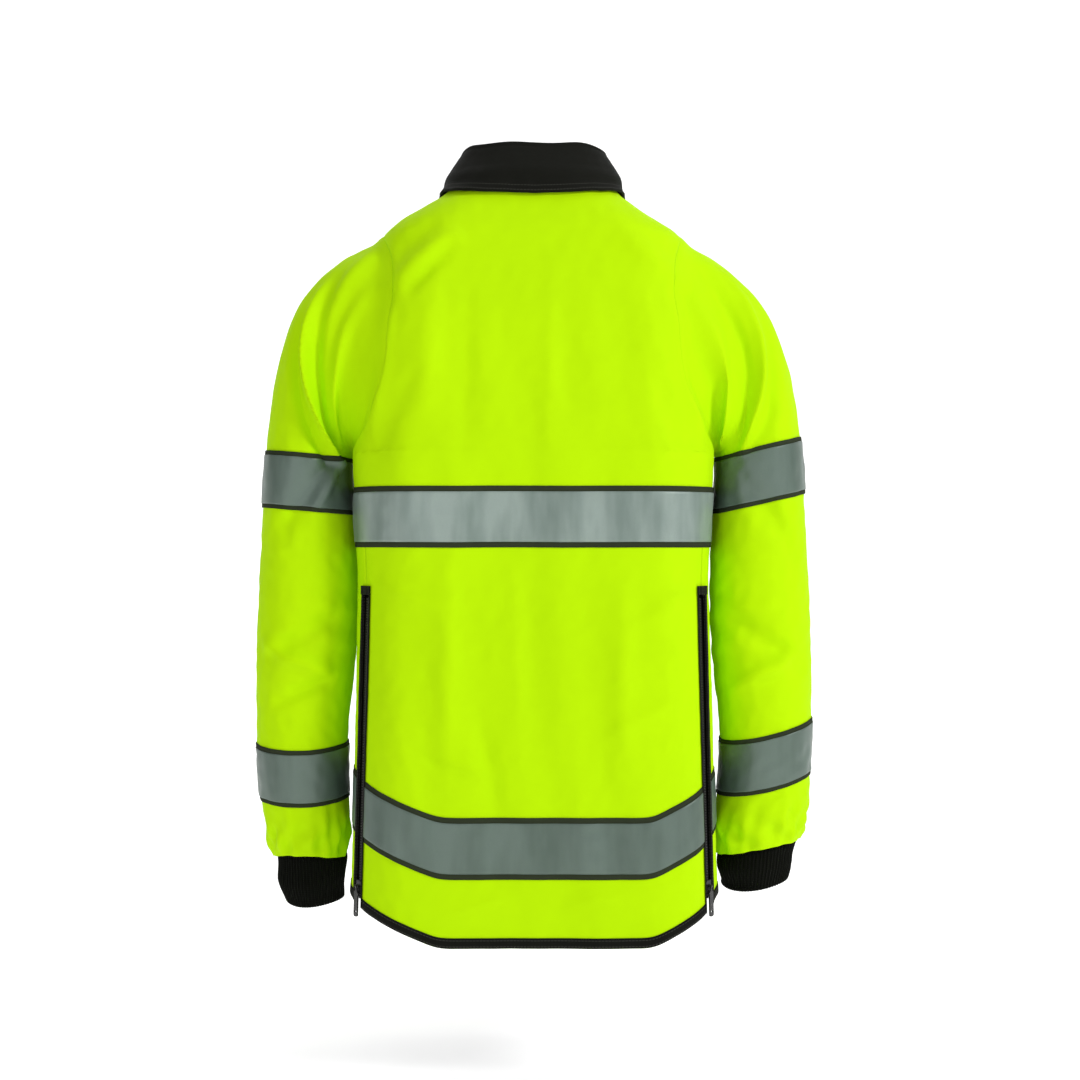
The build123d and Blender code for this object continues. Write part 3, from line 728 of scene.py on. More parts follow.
def clothMaterial(
    name, tones, roughness, threads, weaveDepth, paintedFillGlow=0.0, sheen=0.0, stitches=(), thread=None, threadGapShade=0.10,
):
    # woven cloth: tone between two colours, thread gaps painted darker as painted shade between the threads, a
    # weave bump and a soft crumple bump
    material, n, shader, place = newMaterial(name)
    dark, light = colours[tones]
    handled = useGroup(n, "handled", place.outputs["Object"], 1.0)
    weave = useGroup(n, "weave", place.outputs["UV"], threads)
    colour = n.mixColour(handled.outputs["Tone"], dark, light)
    # painted shade: the gaps between the threads are darkened
    gapShadeColour = tuple(x * 0.72 for x in dark)
    colour = n.mixColour(n.math("MULTIPLY", weave.outputs["Gap"], threadGapShade), colour, gapShadeColour)
    height = weave.outputs["Height"]
    if len(stitches):
        run = n.add("ShaderNodeAttribute", attribute_name="run")
        seam = n.add("ShaderNodeAttribute", attribute_name="seam")
        total = None
        for at in stitches:
            row = useGroup(n, "stitch", run.outputs["Fac"], n.math("SUBTRACT", seam.outputs["Fac"], at))
            total = row.outputs[0] if total is None else n.math("MAXIMUM", total, row.outputs[0])
        colour = n.mixColour(total, colour, thread or light)
        height = n.math("ADD", height, n.math("MULTIPLY", total, 2.0))
    n.put(shader, "Base Color", colour)
    rough = n.math("ADD", roughness, n.math("MULTIPLY", handled.outputs["Scuff"], 0.08))
    n.put(shader, "Roughness", rough)
    soft = n.bumpNormal(handled.outputs["Crumple"], 0.5, 0.0006)
    n.put(shader, "Normal", n.bumpNormal(height, 0.6, weaveDepth, soft))
    n.put(shader, "Sheen Weight", sheen)
    n.put(shader, "Sheen Roughness", 0.5)
    n.put(shader, "Specular IOR Level", 0.06)
    # painted fill light: the cloth gives off light in its own colour, so its shaded sides look lit though it
    # is no lamp
    if paintedFillGlow:
        n.put(shader, "Emission Color", colour)
        n.put(shader, "Emission Strength", paintedFillGlow)
    return material


def tapeMaterial(name, tones, roughness, metal):
    # retro-reflective tape: tiny glass beads as fine cells, and slow upright streaks between the dark and the
    # light tone, which are painted highlight and painted shade
    material, n, shader, place = newMaterial(name)
    dark, light = colours[tones]
    stretched = n.add("ShaderNodeMapping", place.outputs["UV"])
    n.put(stretched, "Scale", (1, 0.22, 1))
    highlightStreak = n.noise(stretched.outputs[0], 26.0, 3.0, 0.5)
    handled = useGroup(n, "handled", place.outputs["Object"], 1.4)
    ramp = n.add("ShaderNodeValToRGB", highlightStreak)
    ramp.color_ramp.elements[0].position, ramp.color_ramp.elements[1].position = 0.34, 0.60
    beads = n.named("ShaderNodeTexVoronoi", Vector=place.outputs["UV"], Scale=2600.0)
    # painted highlight and shade: the upright streaks carry most of the tone, from the dark to the light
    # colour
    tone = n.math("MULTIPLY_ADD", handled.outputs["Tone"], 0.3, n.math("MULTIPLY", ramp.outputs[0], 0.7))
    colour = n.mixColour(tone, dark, light)
    colour = n.mixColour(n.math("MULTIPLY", beads, 0.22), colour, tuple(x * 0.5 for x in dark))
    n.put(shader, "Base Color", colour)
    n.put(shader, "Roughness", n.math("ADD", roughness, n.math("MULTIPLY", handled.outputs["Scuff"], 0.12)))
    n.put(shader, "Metallic", metal)
    n.put(shader, "Normal", n.bumpNormal(beads, 0.25, 0.0002,
                                         n.bumpNormal(handled.outputs["Crumple"], 0.4, 0.0006)))
    return material


def metalMaterial(name, tones, roughness, metallic):
    # enamelled or bare metal: fine grain, with the paint thinned in scuffed places
    material, n, shader, place = newMaterial(name)
    dark, light, worn = colours[tones]
    handled = useGroup(n, "handled", place.outputs["Object"], 4.0)
    grain = n.noise(place.outputs["Object"], 900.0, 3.0)
    colour = n.mixColour(handled.outputs["Tone"], dark, light)
    colour = n.mixColour(handled.outputs["Scuff"], colour, worn)
    n.put(shader, "Base Color", colour)
    n.put(shader, "Roughness", n.math("MULTIPLY_ADD", grain, 0.2, roughness - 0.1))
    n.put(shader, "Metallic", metallic)
    n.put(shader, "Normal", n.bumpNormal(grain, 0.15, 0.0003))
    return material


def knitMaterial(name, tones, ribs):
    # ribbed knit: v-shaped loops stacked in columns; u runs round the cuff and v down it
    material, n, shader, place = newMaterial(name)
    dark, light = colours[tones]
    uv = n.add("ShaderNodeSeparateXYZ", place.outputs["UV"])
    column = n.math("MULTIPLY", uv.outputs[0], ribs * math.pi)
    slant = n.math("ABSOLUTE", n.math("SINE", column))
    rowPhase = n.math("MULTIPLY_ADD", uv.outputs[1], 2 * math.pi / 0.0021, n.math("MULTIPLY", slant, 2.2))
    loop = n.math("MULTIPLY_ADD", n.math("SINE", rowPhase), 0.5, 0.5)
    bulge = n.math("MULTIPLY_ADD", slant, 0.7, 0.3)
    height = n.math("MULTIPLY", bulge, n.math("MULTIPLY_ADD", loop, 0.6, 0.4))
    handled = useGroup(n, "handled", place.outputs["Object"], 2.0)
    # painted shade: the colour follows the loops' height, darker down between the ribs and loops
    colour = n.mixColour(height, dark, light)
    lint = n.math("MULTIPLY", handled.outputs["Scuff"], 0.5)
    colour = n.mixColour(lint, colour, tuple(x * 2.2 for x in light))
    n.put(shader, "Base Color", colour)
    n.put(shader, "Roughness", n.math("MULTIPLY_ADD", handled.outputs["Tone"], 0.1, 0.82))
    n.put(shader, "Normal", n.bumpNormal(height, 0.8, 0.0008))
    n.put(shader, "Sheen Weight", 0.02)
    n.put(shader, "Specular IOR Level", 0.06)
    return material


# the lime cloth carries a painted fill glow, light of its own colour
limeCloth = dict(tones="lime", roughness=0.78, threads=1500.0, weaveDepth=0.00012, paintedFillGlow=0.06)
trimCloth = dict(tones="black", roughness=0.74, threads=1300.0, weaveDepth=0.0003, sheen=0.02, threadGapShade=0.3)
# stitch rows: how far each row lies from the seam
limeRows = dict(stitches=(0.0022, 0.0080), thread=(0.36, 0.52, 0.01))
trimRows = dict(stitches=(0.0025, 0.0085), thread=(0.035, 0.036, 0.030))
lime = clothMaterial("lime_cloth", **limeCloth)
limeTopstitched = clothMaterial("lime_topstitched", **limeCloth, **limeRows)
trim = clothMaterial("trim_cloth", **trimCloth)
trimStitched = clothMaterial("trim_stitched", **trimCloth, **trimRows)
lining = clothMaterial("lining_cloth", "lining", 0.62, 2200.0, 0.0001, threadGapShade=0.3)
backing = clothMaterial("backing_cloth", "backing", 0.80, 900.0, 0.0003, threadGapShade=0.35)
zipCloth = clothMaterial("zip_cloth", "zip", 0.85, 1000.0, 0.0003, threadGapShade=0.4)
# two copies of one tape: the chest one lighter, as painted light where the chest faces the lamps, the other
# darker, as painted shade on the hem and sleeve bands
silverLitChest = tapeMaterial("silver_lit_chest", "silver", 0.42, 0.12)
silverShaded = tapeMaterial("silver_shaded_copy", "silverShaded", 0.42, 0.12)
knit = knitMaterial("cuff_knit", "knit", 330.0)
enamel = metalMaterial("zip_enamel", "enamel", 0.38, 0.55)
coilPlastic = metalMaterial("coil_plastic", "coil", 0.46, 0.0)
snapMetal = metalMaterial("snap_enamel", "snap", 0.34, 0.70)
print("materials ready")


def setSeam(piece, seam, run):
    # distance in from the nearest sewn edge, and length along that edge, for the stitch rows
    for name, values in (("seam", seam), ("run", run)):
        layer = piece.data.attributes.new(name, "FLOAT", "POINT")
        layer.data.foreach_set("value", np.asarray(values, np.float32).ravel())


def joinGrids(name, grids):
    # several grids, each (points, flip), as one mesh with one UV map
    allPoints, allFaces, allUv, start = [], [], [], 0
    for points, flip in grids:
        rowCount, columnCount = points.shape[:2]
        allPoints.append(points.reshape(-1, 3))
        allFaces.append(gridFaces(rowCount, columnCount, flip=flip) + start)
        allUv.append(gridUv(points).reshape(-1, 2))
        start += rowCount * columnCount
    return makeMesh(name, np.concatenate(allPoints), np.concatenate(allFaces), np.concatenate(allUv))


vent = dict(gap=0.0072, closedAbove=0.4105, openBelow=0.4135, facingWidth=0.0098, facingTop=-0.4110)


def panelEdgesCut(back):
    # the panel edges, let back from the seam line where the vent is open
    edge = panelEdges(back)
    share = vent["gap"] / backLength(panelZ)
    cut = smoothStep(-panelZ, vent["closedAbove"], vent["openBelow"])
    return edge + (share if back else -share) * cut


def backGridCut(out=0.0, columns=121, inset=0.0):
    # the back panel: from one side seam round the back to the other, on every row
    edge = panelEdgesCut(True) + inset
    s = np.linspace(-1, 1, columns)
    c = 2 + s[None, :] * (2 - edge)[:, None]
    return clothPoint(c, panelZ[:, None] + 0 * c, out)


def frontInner(edge):
    # where a front panel begins: beside the zip, and round the neck's quarter oval above it
    neckDrop = np.clip((panelZ + 0.054) / 0.064, 0, 1)
    neckX = np.where(panelZ > -0.054, 0.074 * np.sqrt(1 - (1 - neckDrop) ** 2), 0.0)
    inner = np.maximum(0.009, neckX) / frontLength(panelZ)
    return np.minimum(inner, edge - 0.02)


def frontGridCut(side, out=0.0, columns=84, inset=0.0, innerInset=0.0):
    # a front panel: from the zip, or the neck, to the side seam on every row
    edge = panelEdgesCut(False) - inset
    inner = frontInner(edge) + innerInset
    s = np.linspace(0, 1, columns)
    c = side * (inner[:, None] + s[None, :] * (edge - inner)[:, None])
    return clothPoint(c, panelZ[:, None] + 0 * c, out)


backPoints = backGridCut()[0]
backPanel = gridPiece("back_shell", backPoints)
thicken(backPanel, 0.0016, inner=1, rim=1)
finishPiece(backPanel, [lime, trim], "torso", ["back_panel"])

frontPoints = {}
for side, word in ((1, "left"), (-1, "right")):
    frontPoints[side] = frontGridCut(side)[0]
    panel = gridPiece(f"{word}_front_shell", frontPoints[side], flip=side < 0)
    thicken(panel, 0.0016, inner=1, rim=1)
    finishPiece(panel, [lime, trim], "torso", [f"{word}_front_panel"])

liningPiece = joinGrids("inner_lining", [
    (backGridCut(-0.0040, 61, 0.03)[0][4:], False),
    (frontGridCut(1, -0.0040, 42, 0.03, 0.09)[0][4:], False),
    (frontGridCut(-1, -0.0040, 42, 0.03, 0.09)[0][4:], True),
])
thicken(liningPiece, 0.0008)
finishPiece(liningPiece, [lining], "torso", ["body_lining"])
print("shell panels and lining")

# hem bindings: a folded tape round the raw edge, given as heights above the hem and distances out
bindPath = np.array([
    (0.0095, 0.0008), (0.0045, 0.0011), (0.0004, 0.0012), (-0.0010, 0.0006), (-0.0012, -0.0008),
    (-0.0010, -0.0022), (0.0004, -0.0028), (0.0045, -0.0027), (0.0095, -0.0024),
])


def bindingGrid(cFrom, cTo, columns):
    # the binding's profile carried along the hem from one ring coordinate to another
    c = np.linspace(cFrom, cTo, columns)[None, :] + 0 * bindPath[:, :1]
    z = hemZ + 0.0012 + bindPath[:, :1] + 0 * c
    return clothPoint(c, z, bindPath[:, 1:] + 0 * c)[0]


lowBack = float(panelEdgesCut(True)[0])
lowFront = float(panelEdgesCut(False)[0])
lowInner = float(frontInner(panelEdgesCut(False))[0])
for name, cFrom, cTo, columns, flip, node in (
    ("back_hem_tape", lowBack, 4 - lowBack, 141, True, "back_hem_binding"),
    ("left_front_hem_tape", lowInner, lowFront, 90, True, "left_front_hem_binding"),
    ("right_front_hem_tape", -lowInner, -lowFront, 90, False, "right_front_hem_binding"),
):
    points = bindingGrid(cFrom, cTo, columns)
    piece = gridPiece(name, points, flip=flip)
    along = gridUv(points)[..., 0]
    setSeam(piece, 0.0095 - bindPath[:, :1] + 0 * along, along)
    thicken(piece, 0.0005)
    finishPiece(piece, [trimStitched], "torso", [node])
print("hem bindings")

# reflective bands: z of the middle, half height of the backing and of the silver
chestBand = dict(z=-0.3345, backing=0.031, silver=0.0254, rows=21)
hemBand = dict(z=hemZ + 0.100, backing=0.031, silver=0.0254, rows=21, ventInset=0.0092, backRun=0.283)


def bandRun(z, half, out, cFrom, cTo, columns, rowCount):
    # a strip of the shell's face, moved out: rows from z - half to z + half, columns along the coat
    zRows = np.linspace(z - half, z + half, rowCount)[:, None]
    c = np.linspace(cFrom, cTo, columns)[None, :] + 0 * zRows
    return clothPoint(c, zRows + 0 * c, out)[0]


def closureC(x, z):
    # x metres from the middle of the front, as a ring coordinate
    return float(x / frontLength(np.array(z)))


edgeChest = closureC(0.0095, chestBand["z"])
edgeHem = closureC(0.0095, hemBand["z"])
hemSeam = float(seamC(np.array(hemBand["z"])))
ventShare = hemBand["ventInset"] / hemBand["backRun"]  # how far the hem band stops short of the vent
for part, half, out, thick, material, slotName in (
    ("backing", "backing", 0.0009, 0.0007, backing, "tape_backing"),
    ("silver", "silver", 0.0015, 0.0005, silverLitChest, "silver_tape"),
):
    chest = bandRun(chestBand["z"], chestBand[half], out, edgeChest, 4 - edgeChest, 420, chestBand["rows"])
    piece = gridPiece(f"chest_{part}", chest, flip=False)
    thicken(piece, thick, rim=1)
    finishPiece(piece, [material, backing], "torso", [f"chest_band_{part}"])
    # the hem band's silver takes the darker copy of the tape: painted shade
    hemMaterial = material if part == "backing" else silverShaded
    piece = joinGrids(f"hem_{part}", [
        (bandRun(hemBand["z"], hemBand[half], out, cFrom, cTo, columns, hemBand["rows"]), flip)
        for cFrom, cTo, columns, flip in (
            (hemSeam + ventShare, 4 - hemSeam - ventShare, 150, False),
            (edgeHem, hemSeam - ventShare, 110, False),
            (-edgeHem, -hemSeam + ventShare, 110, True),
        )
    ])
    thicken(piece, thick, rim=1)
    finishPiece(piece, [hemMaterial, backing], "torso", [f"hem_band_{part}"])
print("torso bands")


def teethMesh(name, places, tangent, outward, side, size):
    # moulded teeth, one per place: a pad with a narrow neck and a bevelled top, as three rings of eight points
    profile = np.array([
        (-0.5, -0.30), (0.05, -0.30), (0.25, -0.5), (0.5, -0.36),
        (0.5, 0.36), (0.25, 0.5), (0.05, 0.30), (-0.5, 0.30),
    ])
    across = unitVectors(np.cross(tangent, outward)) * side
    width, pitch, height = size
    n = len(places)
    corner = (places[:, None] + across[:, None] * profile[None, :, :1] * width
              + tangent[:, None] * profile[None, :, 1:] * pitch)
    layers = [corner - outward[:, None] * height * 0.5, corner + outward[:, None] * height * 0.28,
              places[:, None] + (corner - places[:, None]) * 0.72 + outward[:, None] * height * 0.5]
    points = np.stack(layers, 1).reshape(n * 24, 3)
    k = np.arange(8)
    nextK = (k + 1) % 8
    quads = [np.stack([k + 8 * j, nextK + 8 * j, nextK + 8 * (j + 1), k + 8 * (j + 1)], -1) for j in (0, 1)]
    quads = np.concatenate(quads)
    faces = (quads[None] + 24 * np.arange(n)[:, None, None]).reshape(-1, 4).tolist()
    caps = [(k + 16).tolist(), k[::-1].tolist()]
    for start in (24 * np.arange(n)).tolist():
        faces += [[v + start for v in cap] for cap in caps]
    if side > 0:
        faces = [face[::-1] for face in faces]
    return makeMesh(name, points, faces, smooth=False)


closureDown = np.array([0, -torso["closureSlope"], -1.0]) / math.hypot(1, torso["closureSlope"])
closureOut = np.array([0, -1.0, torso["closureSlope"]]) / math.hypot(1, torso["closureSlope"])
closureTop = np.array([0, -torso["closureReach"], torso["closureTop"]])


def closurePoint(x, down, out):
    # on the front: x across, metres down the closure and metres out from the shell
    x, down, out = np.broadcast_arrays(np.asarray(x, float), np.asarray(down, float), np.asarray(out, float))
    sideways = np.stack([x, 0 * x, 0 * x], -1)
    return closureTop + sideways + down[..., None] * closureDown + out[..., None] * closureOut


def ventFrame(side, z):
    # the side zip's line: the body's corner, a fixed turn round it, with the direction out of it
    lowest, waist = torso["level"][:2]
    share = (waist - z) / (waist - lowest)
    half, back = (lerp(torso[size][1], torso[size][0], share) for size in ("halfWidth", "back"))
    corner = 0.070
    turn = math.pi / 2 - torso["seamTurn"]
    out = np.array([side * math.sin(turn), math.cos(turn), 0.0])
    across, deep = half - corner + corner * math.sin(turn), back - corner + corner * math.cos(turn)
    place = np.stack([side * across, deep, z], -1)
    return place, out, np.array([side * math.cos(turn), -math.sin(turn), 0.0])


coilLow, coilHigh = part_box("left_zip_coil")
zipLength = coilHigh.z - coilLow.z
# zips: a tooth is given by its width across the zip, its length along it and its height
zipper = dict(
    pitch=0.0027, tooth=(0.0036, 0.0023, 0.0028), toothAcross=0.0017, teethUnder=0.0022,
    tapeInner=0.0032, tapeOuter=0.0225, tapeUnder=0.0030, tapeThick=0.0008,
)
sideZip = dict(tapeHalf=0.014, gap=0.0026, under=0.0048)
ventStay = dict(low=-0.4140, high=-0.4050, half=0.0100, out=0.0021, cloth=0.0009)
# the path of the black facing, which is partly a binding and partly painted shade of the vent: distance from
# the side seam, and out from the shell
facingPath = np.array([
    (vent["facingWidth"], 0.0012), (0.0096, 0.0015), (0.0088, 0.0016), (0.0078, 0.0015),
    (0.0067, 0.0008), (0.0070, -0.0016), (0.0092, -0.0026),
])
pitch = zipper["pitch"]
count = int(zipLength / pitch)
zipDown = (torso["closureTop"] - coilHigh.z) + pitch * (np.arange(count) + 0.5)
for side, word in ((1, "left"), (-1, "right")):
    across = np.linspace(zipper["tapeInner"], zipper["tapeOuter"], 8)[None, :] * side
    down = np.linspace(0.0, zipLength + 0.014, 260)[:, None]
    rise = 0.0002 * np.sin(down * 260) * (np.abs(across) - 0.003) / 0.02
    tapePoints = closurePoint(across, down + (torso["closureTop"] - coilHigh.z), rise - zipper["tapeUnder"])
    piece = gridPiece(f"{word}_front_zip_tape", tapePoints, flip=side > 0)
    alongTape = down + 0 * across
    setSeam(piece, zipper["tapeOuter"] - np.abs(across) + 0 * down, alongTape)
    thicken(piece, zipper["tapeThick"], offset=0)
    finishPiece(piece, [zipCloth], "torso", [f"{word}_zip_tape"])
    toothDown = zipDown + (0.5 * pitch if side > 0 else 0.0)
    places = closurePoint(zipper["toothAcross"] * side, toothDown, -zipper["teethUnder"])
    teeth = teethMesh(f"{word}_front_zip_teeth", places, np.tile(closureDown, (count, 1)),
                      np.tile(closureOut, (count, 1)), side, zipper["tooth"])
    finishPiece(teeth, [coilPlastic], "torso", [f"{word}_zip_coil"])

    sideLow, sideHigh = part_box(f"{word}_side_zip_coil")
    rowsZ = np.linspace(sideHigh.z, sideLow.z, 130)
    place, out, tangent = ventFrame(side, rowsZ)
    span = np.linspace(-sideZip["tapeHalf"], sideZip["tapeHalf"], 15)
    tape = place[:, None] + tangent * span[None, :, None] - out * sideZip["under"]
    curve = out * (-0.0008 - 0.06 * np.abs(span) ** 1.2)[None, :, None]
    left, right = np.where(span < -sideZip["gap"])[0], np.where(span > sideZip["gap"])[0]
    piece = joinGrids(f"{word}_vent_zip_tape", [
        ((tape + curve)[:, left], side < 0),
        ((tape + curve)[:, right], side < 0),
    ])
    thicken(piece, zipper["tapeThick"], offset=0)
    finishPiece(piece, [zipCloth], "torso", [f"{word}_side_zip_tape"])
    sideCount = int((sideHigh.z - sideLow.z) / pitch)
    zs = sideHigh.z - pitch * (np.arange(sideCount) + 0.5)
    parts = []
    for half in (1, -1):
        place, out, tangent = ventFrame(side, zs - (0.5 * pitch if half > 0 else 0))
        places = place + tangent * zipper["toothAcross"] * half - out * sideZip["under"]
        down = np.tile([0, 0, -1.0], (sideCount, 1))
        orient = half if np.cross(down[0], out) @ tangent > 0 else -half
        parts.append(teethMesh(f"{word}_vent_teeth_{half}", places, down, np.tile(out, (sideCount, 1)),
                               orient, zipper["tooth"]))
    with bpy.context.temp_override(active_object=parts[0], selected_editable_objects=parts):
        bpy.ops.object.join()
    parts[0].name = f"{word}_vent_zip_teeth"
    finishPiece(parts[0], [coilPlastic], "torso", [f"{word}_side_zip_coil"])

    # black facing down both edges of the vent, over the shell and folded round its edge: partly a real
    # binding, partly painted shade, a black strip where the vent's fold lies in shade
    facing = []
    for onBack in (True, False):
        zRows = np.linspace(hemZ + 0.001, vent["facingTop"], 150)[:, None]
        share = 1 / backLength(zRows)
        direction = 1 if onBack else -1
        c = seamC(zRows) + direction * share * facingPath[None, :, 0]
        points = clothPoint(side * c, zRows + 0 * c, facingPath[None, :, 1] + 0 * c)[0]
        facing.append((points, (side > 0) == onBack))
    piece = joinGrids(f"{word}_vent_facing_and_shade", facing)
    alongFacing = np.tile(np.linspace(0, 0.37, 150)[:, None], (1, 7))
    inFacing = np.tile(vent["facingWidth"] - facingPath[None, :, 0], (150, 1))
    setSeam(piece, np.concatenate([inFacing.ravel()] * 2), np.concatenate([alongFacing.ravel()] * 2))
    thicken(piece, 0.0007)
    finishPiece(piece, [trimStitched], "torso")

    # a short strap across the top of the vent
    zRows = np.linspace(ventStay["low"], ventStay["high"], 7)[:, None]
    span = np.linspace(-ventStay["half"], ventStay["half"], 17)[None, :]
    c = side * (seamC(zRows) + span / backLength(zRows))
    points = clothPoint(c, zRows + 0 * span, ventStay["out"] + 0 * span)[0]
    piece = gridPiece(f"{word}_vent_stay", points, flip=side < 0)
    setSeam(piece, ventStay["half"] - np.abs(span) + 0 * zRows, zRows + 0 * span)
    thicken(piece, ventStay["cloth"])
    finishPiece(piece, [trimStitched], "torso")
print("zips and vents")


def shellMesh(name, points, normals, thickness, flip):
    # a wrapped grid as outside and inside layers with their rims, shaded with the given normals
    rowCount, columnCount = points.shape[:2]
    n = rowCount * columnCount
    both = np.concatenate([points.reshape(-1, 3), (points - normals * thickness).reshape(-1, 3)])
    outer = gridFaces(rowCount, columnCount, wrap=True, flip=flip)
    inner = outer[:, ::-1] + n
    k = np.arange(columnCount)
    nextK = (k + 1) % columnCount
    top = np.stack([k, k + n, nextK + n, nextK], -1)
    low = top[:, ::-1] + (rowCount - 1) * columnCount
    rims = np.concatenate([top, low])
    if flip:
        rims = rims[:, ::-1]
    uv = gridUv(points).reshape(-1, 2)
    piece = makeMesh(name, both, np.concatenate([outer, inner, rims]), np.concatenate([uv, uv]))
    material = np.concatenate([np.zeros(len(outer), int), np.ones(len(inner) + len(rims), int)])
    piece.data.polygons.foreach_set("material_index", material.astype(np.int32))
    flat = normals.reshape(-1, 3)
    piece.data.normals_split_custom_set_from_vertices(np.concatenate([flat, -flat]).tolist())
    return piece


knitCuff = dict(
    ribs=64, pointsPerRib=5, ribHeight=0.0007, slump=0.0016, dip=0.0012, sag=0.003, cloth=0.0022,
    # shares of the cuff's length, each with the values that belong to them
    heightAt=[0, 0.25, 0.86, 0.94, 1.0], height=[-0.672, -0.694, -0.7472, -0.7480, -0.7440],
    sizeAt=[0, 0.2, 0.32, 0.6, 0.86, 0.94, 1.0],
    across=[0.0330, 0.0345, 0.0366, 0.0352, 0.0306, 0.0286, 0.0262],
    deep=[0.0390, 0.0400, 0.0424, 0.0410, 0.0376, 0.0362, 0.0342],
    middleAt=[0, 0.25, 1.0], middleX=[0.2401, 0.2399, 0.2360], middleY=[-0.0120, -0.0122, -0.0140],
)
# the tilt of the bands on each sleeve
bandTilt = {
    1: dict(upperZ=-0.2975, upper=0.008, lowerZ=-0.6050, lower=-0.002, smile=0.005),
    -1: dict(upperZ=-0.2890, upper=0.022, lowerZ=-0.5900, lower=0.025, smile=0.003),
}
for side, word in ((1, "left"), (-1, "right")):
    armBack = backPoints[isArm][:, 0 if side > 0 else -1]
    armFront = frontPoints[side][isArm][:, -1]
    points, t = foldedSleeve(side, armLoopPoints(armBack, armFront))
    normals = gridNormals(points, wrap=True)
    middle = points.mean(1, keepdims=True)
    if np.mean(np.sum((points - middle) * normals, -1)[20:]) < 0:
        normals = -normals
    split = sleeve["upperRows"]
    faceTest = gridFaces(len(points), points.shape[1], wrap=True)[40 * points.shape[1]]
    p = points.reshape(-1, 3)[faceTest]
    facing = np.dot(np.cross(p[1] - p[0], p[2] - p[1]), normals.reshape(-1, 3)[faceTest[0]])
    flip = facing < 0
    upper = shellMesh(f"{word}_sleeve_upper", points[:split + 1], normals[:split + 1], 0.0016, flip)
    finishPiece(upper, [lime, trim], None, [f"{word}_sleeve_head", f"{word}_upper_sleeve"])
    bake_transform(upper)
    lower = shellMesh(f"{word}_sleeve_lower", points[split:], normals[split:], 0.0016, flip)
    finishPiece(lower, [lime, trim], None, [f"{word}_elbow_gusset", f"{word}_lower_sleeve"])
    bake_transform(lower)

    # the sleeve bands lie on the sleeve, tilted, each with its backing
    outward = (points[..., 0] * side - 0.243) / 0.05
    tilt = bandTilt[side]
    for place in ("upper", "lower"):
        middleZ, rise = tilt[place + "Z"], tilt[place]
        columns = np.clip(outward[split if place == "upper" else -40], -1, 1)
        centre = middleZ + rise * 0.5 * columns
        if place == "lower":
            centre = centre + tilt["smile"] * (columns ** 2 - 0.5)
        # the sleeve bands' silver is the darker copy of the tape: painted shade
        for part, half, out, thick, material, slotName in (
            ("backing", 0.030, 0.0013, 0.0010, backing, "tape_backing"),
            ("silver", 0.0254, 0.0019, 0.0005, silverShaded, "silver_tape"),
        ):
            heights = centre[None, :] + np.linspace(half, -half, 31)[:, None]
            where, normalThere = onSleeve(points, normals, heights)
            lifted = where + normalThere * out
            lifted = np.concatenate([lifted, lifted[:, :1]], axis=1)
            piece = gridPiece(f"{word}_{place}_band_{part}", lifted, flip=flip)
            thicken(piece, thick, rim=1)
            finishPiece(piece, [material, backing], None if place == "upper" else f"{word}_forearm",
                        [f"{word}_{place}_sleeve_band_{part}"])
            if place == "upper":
                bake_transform(piece)

    # ribbed knit cuff: a tube with upright ribs, turned in at the wrist
    ribs, endings = knitCuff["ribs"], wristShape[side]
    angle = np.linspace(0, 2 * math.pi, ribs * knitCuff["pointsPerRib"], endpoint=False)
    s = np.linspace(0, 1, 46)
    z = np.interp(s, knitCuff["heightAt"], knitCuff["height"]) + endings["lift"] + endings["short"] * s
    pull = np.interp(s, knitCuff["sizeAt"], knitCuff["across"]) + 0.7 * endings["wider"]
    deep = np.interp(s, knitCuff["sizeAt"], knitCuff["deep"])
    cx, cy = (np.interp(s, knitCuff["middleAt"], knitCuff[end]) for end in ("middleX", "middleY"))
    slump = knitCuff["slump"] * np.sin(s * 11 + side)[:, None] * np.cos(angle - 0.6 * side)[None, :]
    rib = knitCuff["ribHeight"] * np.cos(angle * ribs)[None, :] * smoothStep(1 - s, 0, 0.06)[:, None]
    rx, ry = pull[:, None] + rib + slump, deep[:, None] + rib + slump
    dip = knitCuff["dip"] * np.cos(angle * 2 + side) + endings["slant"] * 0.5 * np.cos(angle)
    sag = knitCuff["sag"] * smoothStep(s, 0.4, 1.0)[:, None] * np.sin(angle)[None, :]
    tube = np.stack([
        (cx[:, None] + rx * np.cos(angle)) * side,
        cy[:, None] + ry * np.sin(angle),
        z[:, None] + dip[None, :] - sag + 0 * rx,
    ], -1)
    piece = gridPiece(f"{word}_knit_cuff", np.concatenate([tube, tube[:, :1]], axis=1), flip=side > 0)
    thicken(piece, knitCuff["cloth"])
    finishPiece(piece, [knit], f"{word}_forearm", [f"{word}_cuff"])
print("sleeves, bands and cuffs")


collar = dict(
    # heights of the roll line and of the lower edge, by the angle from the middle of the back
    angles=[0, 40, 65, 90, 115, 135, 155, 176],
    top=[0.0560, 0.0565, 0.0560, 0.0520, 0.0330, 0.0160, -0.0050, -0.0150],
    low=[-0.0070, -0.0040, 0.0020, 0.0040, -0.0040, -0.0300, -0.0640, -0.0800],
    level=[-0.070, 0.010, 0.058], half=[0.0960, 0.0880, 0.0705], back=[0.074, 0.070, 0.054],
    front=[0.103, 0.084, 0.056],
)


def collarRing(theta, z, out):
    # a superellipse round the neck; its half widths follow the height
    half = np.interp(z, collar["level"], collar["half"]) + out
    back, front = (np.interp(z, collar["level"], collar[end]) for end in ("back", "front"))
    depth = np.where(np.abs(theta) < math.pi / 2, back, front) + out
    s, k = np.sin(theta), np.cos(theta)
    power = 2 / 2.25
    x = np.sign(s) * np.abs(s) ** power * half
    return np.stack([x, np.sign(k) * np.abs(k) ** power * depth, z + 0 * half], -1)


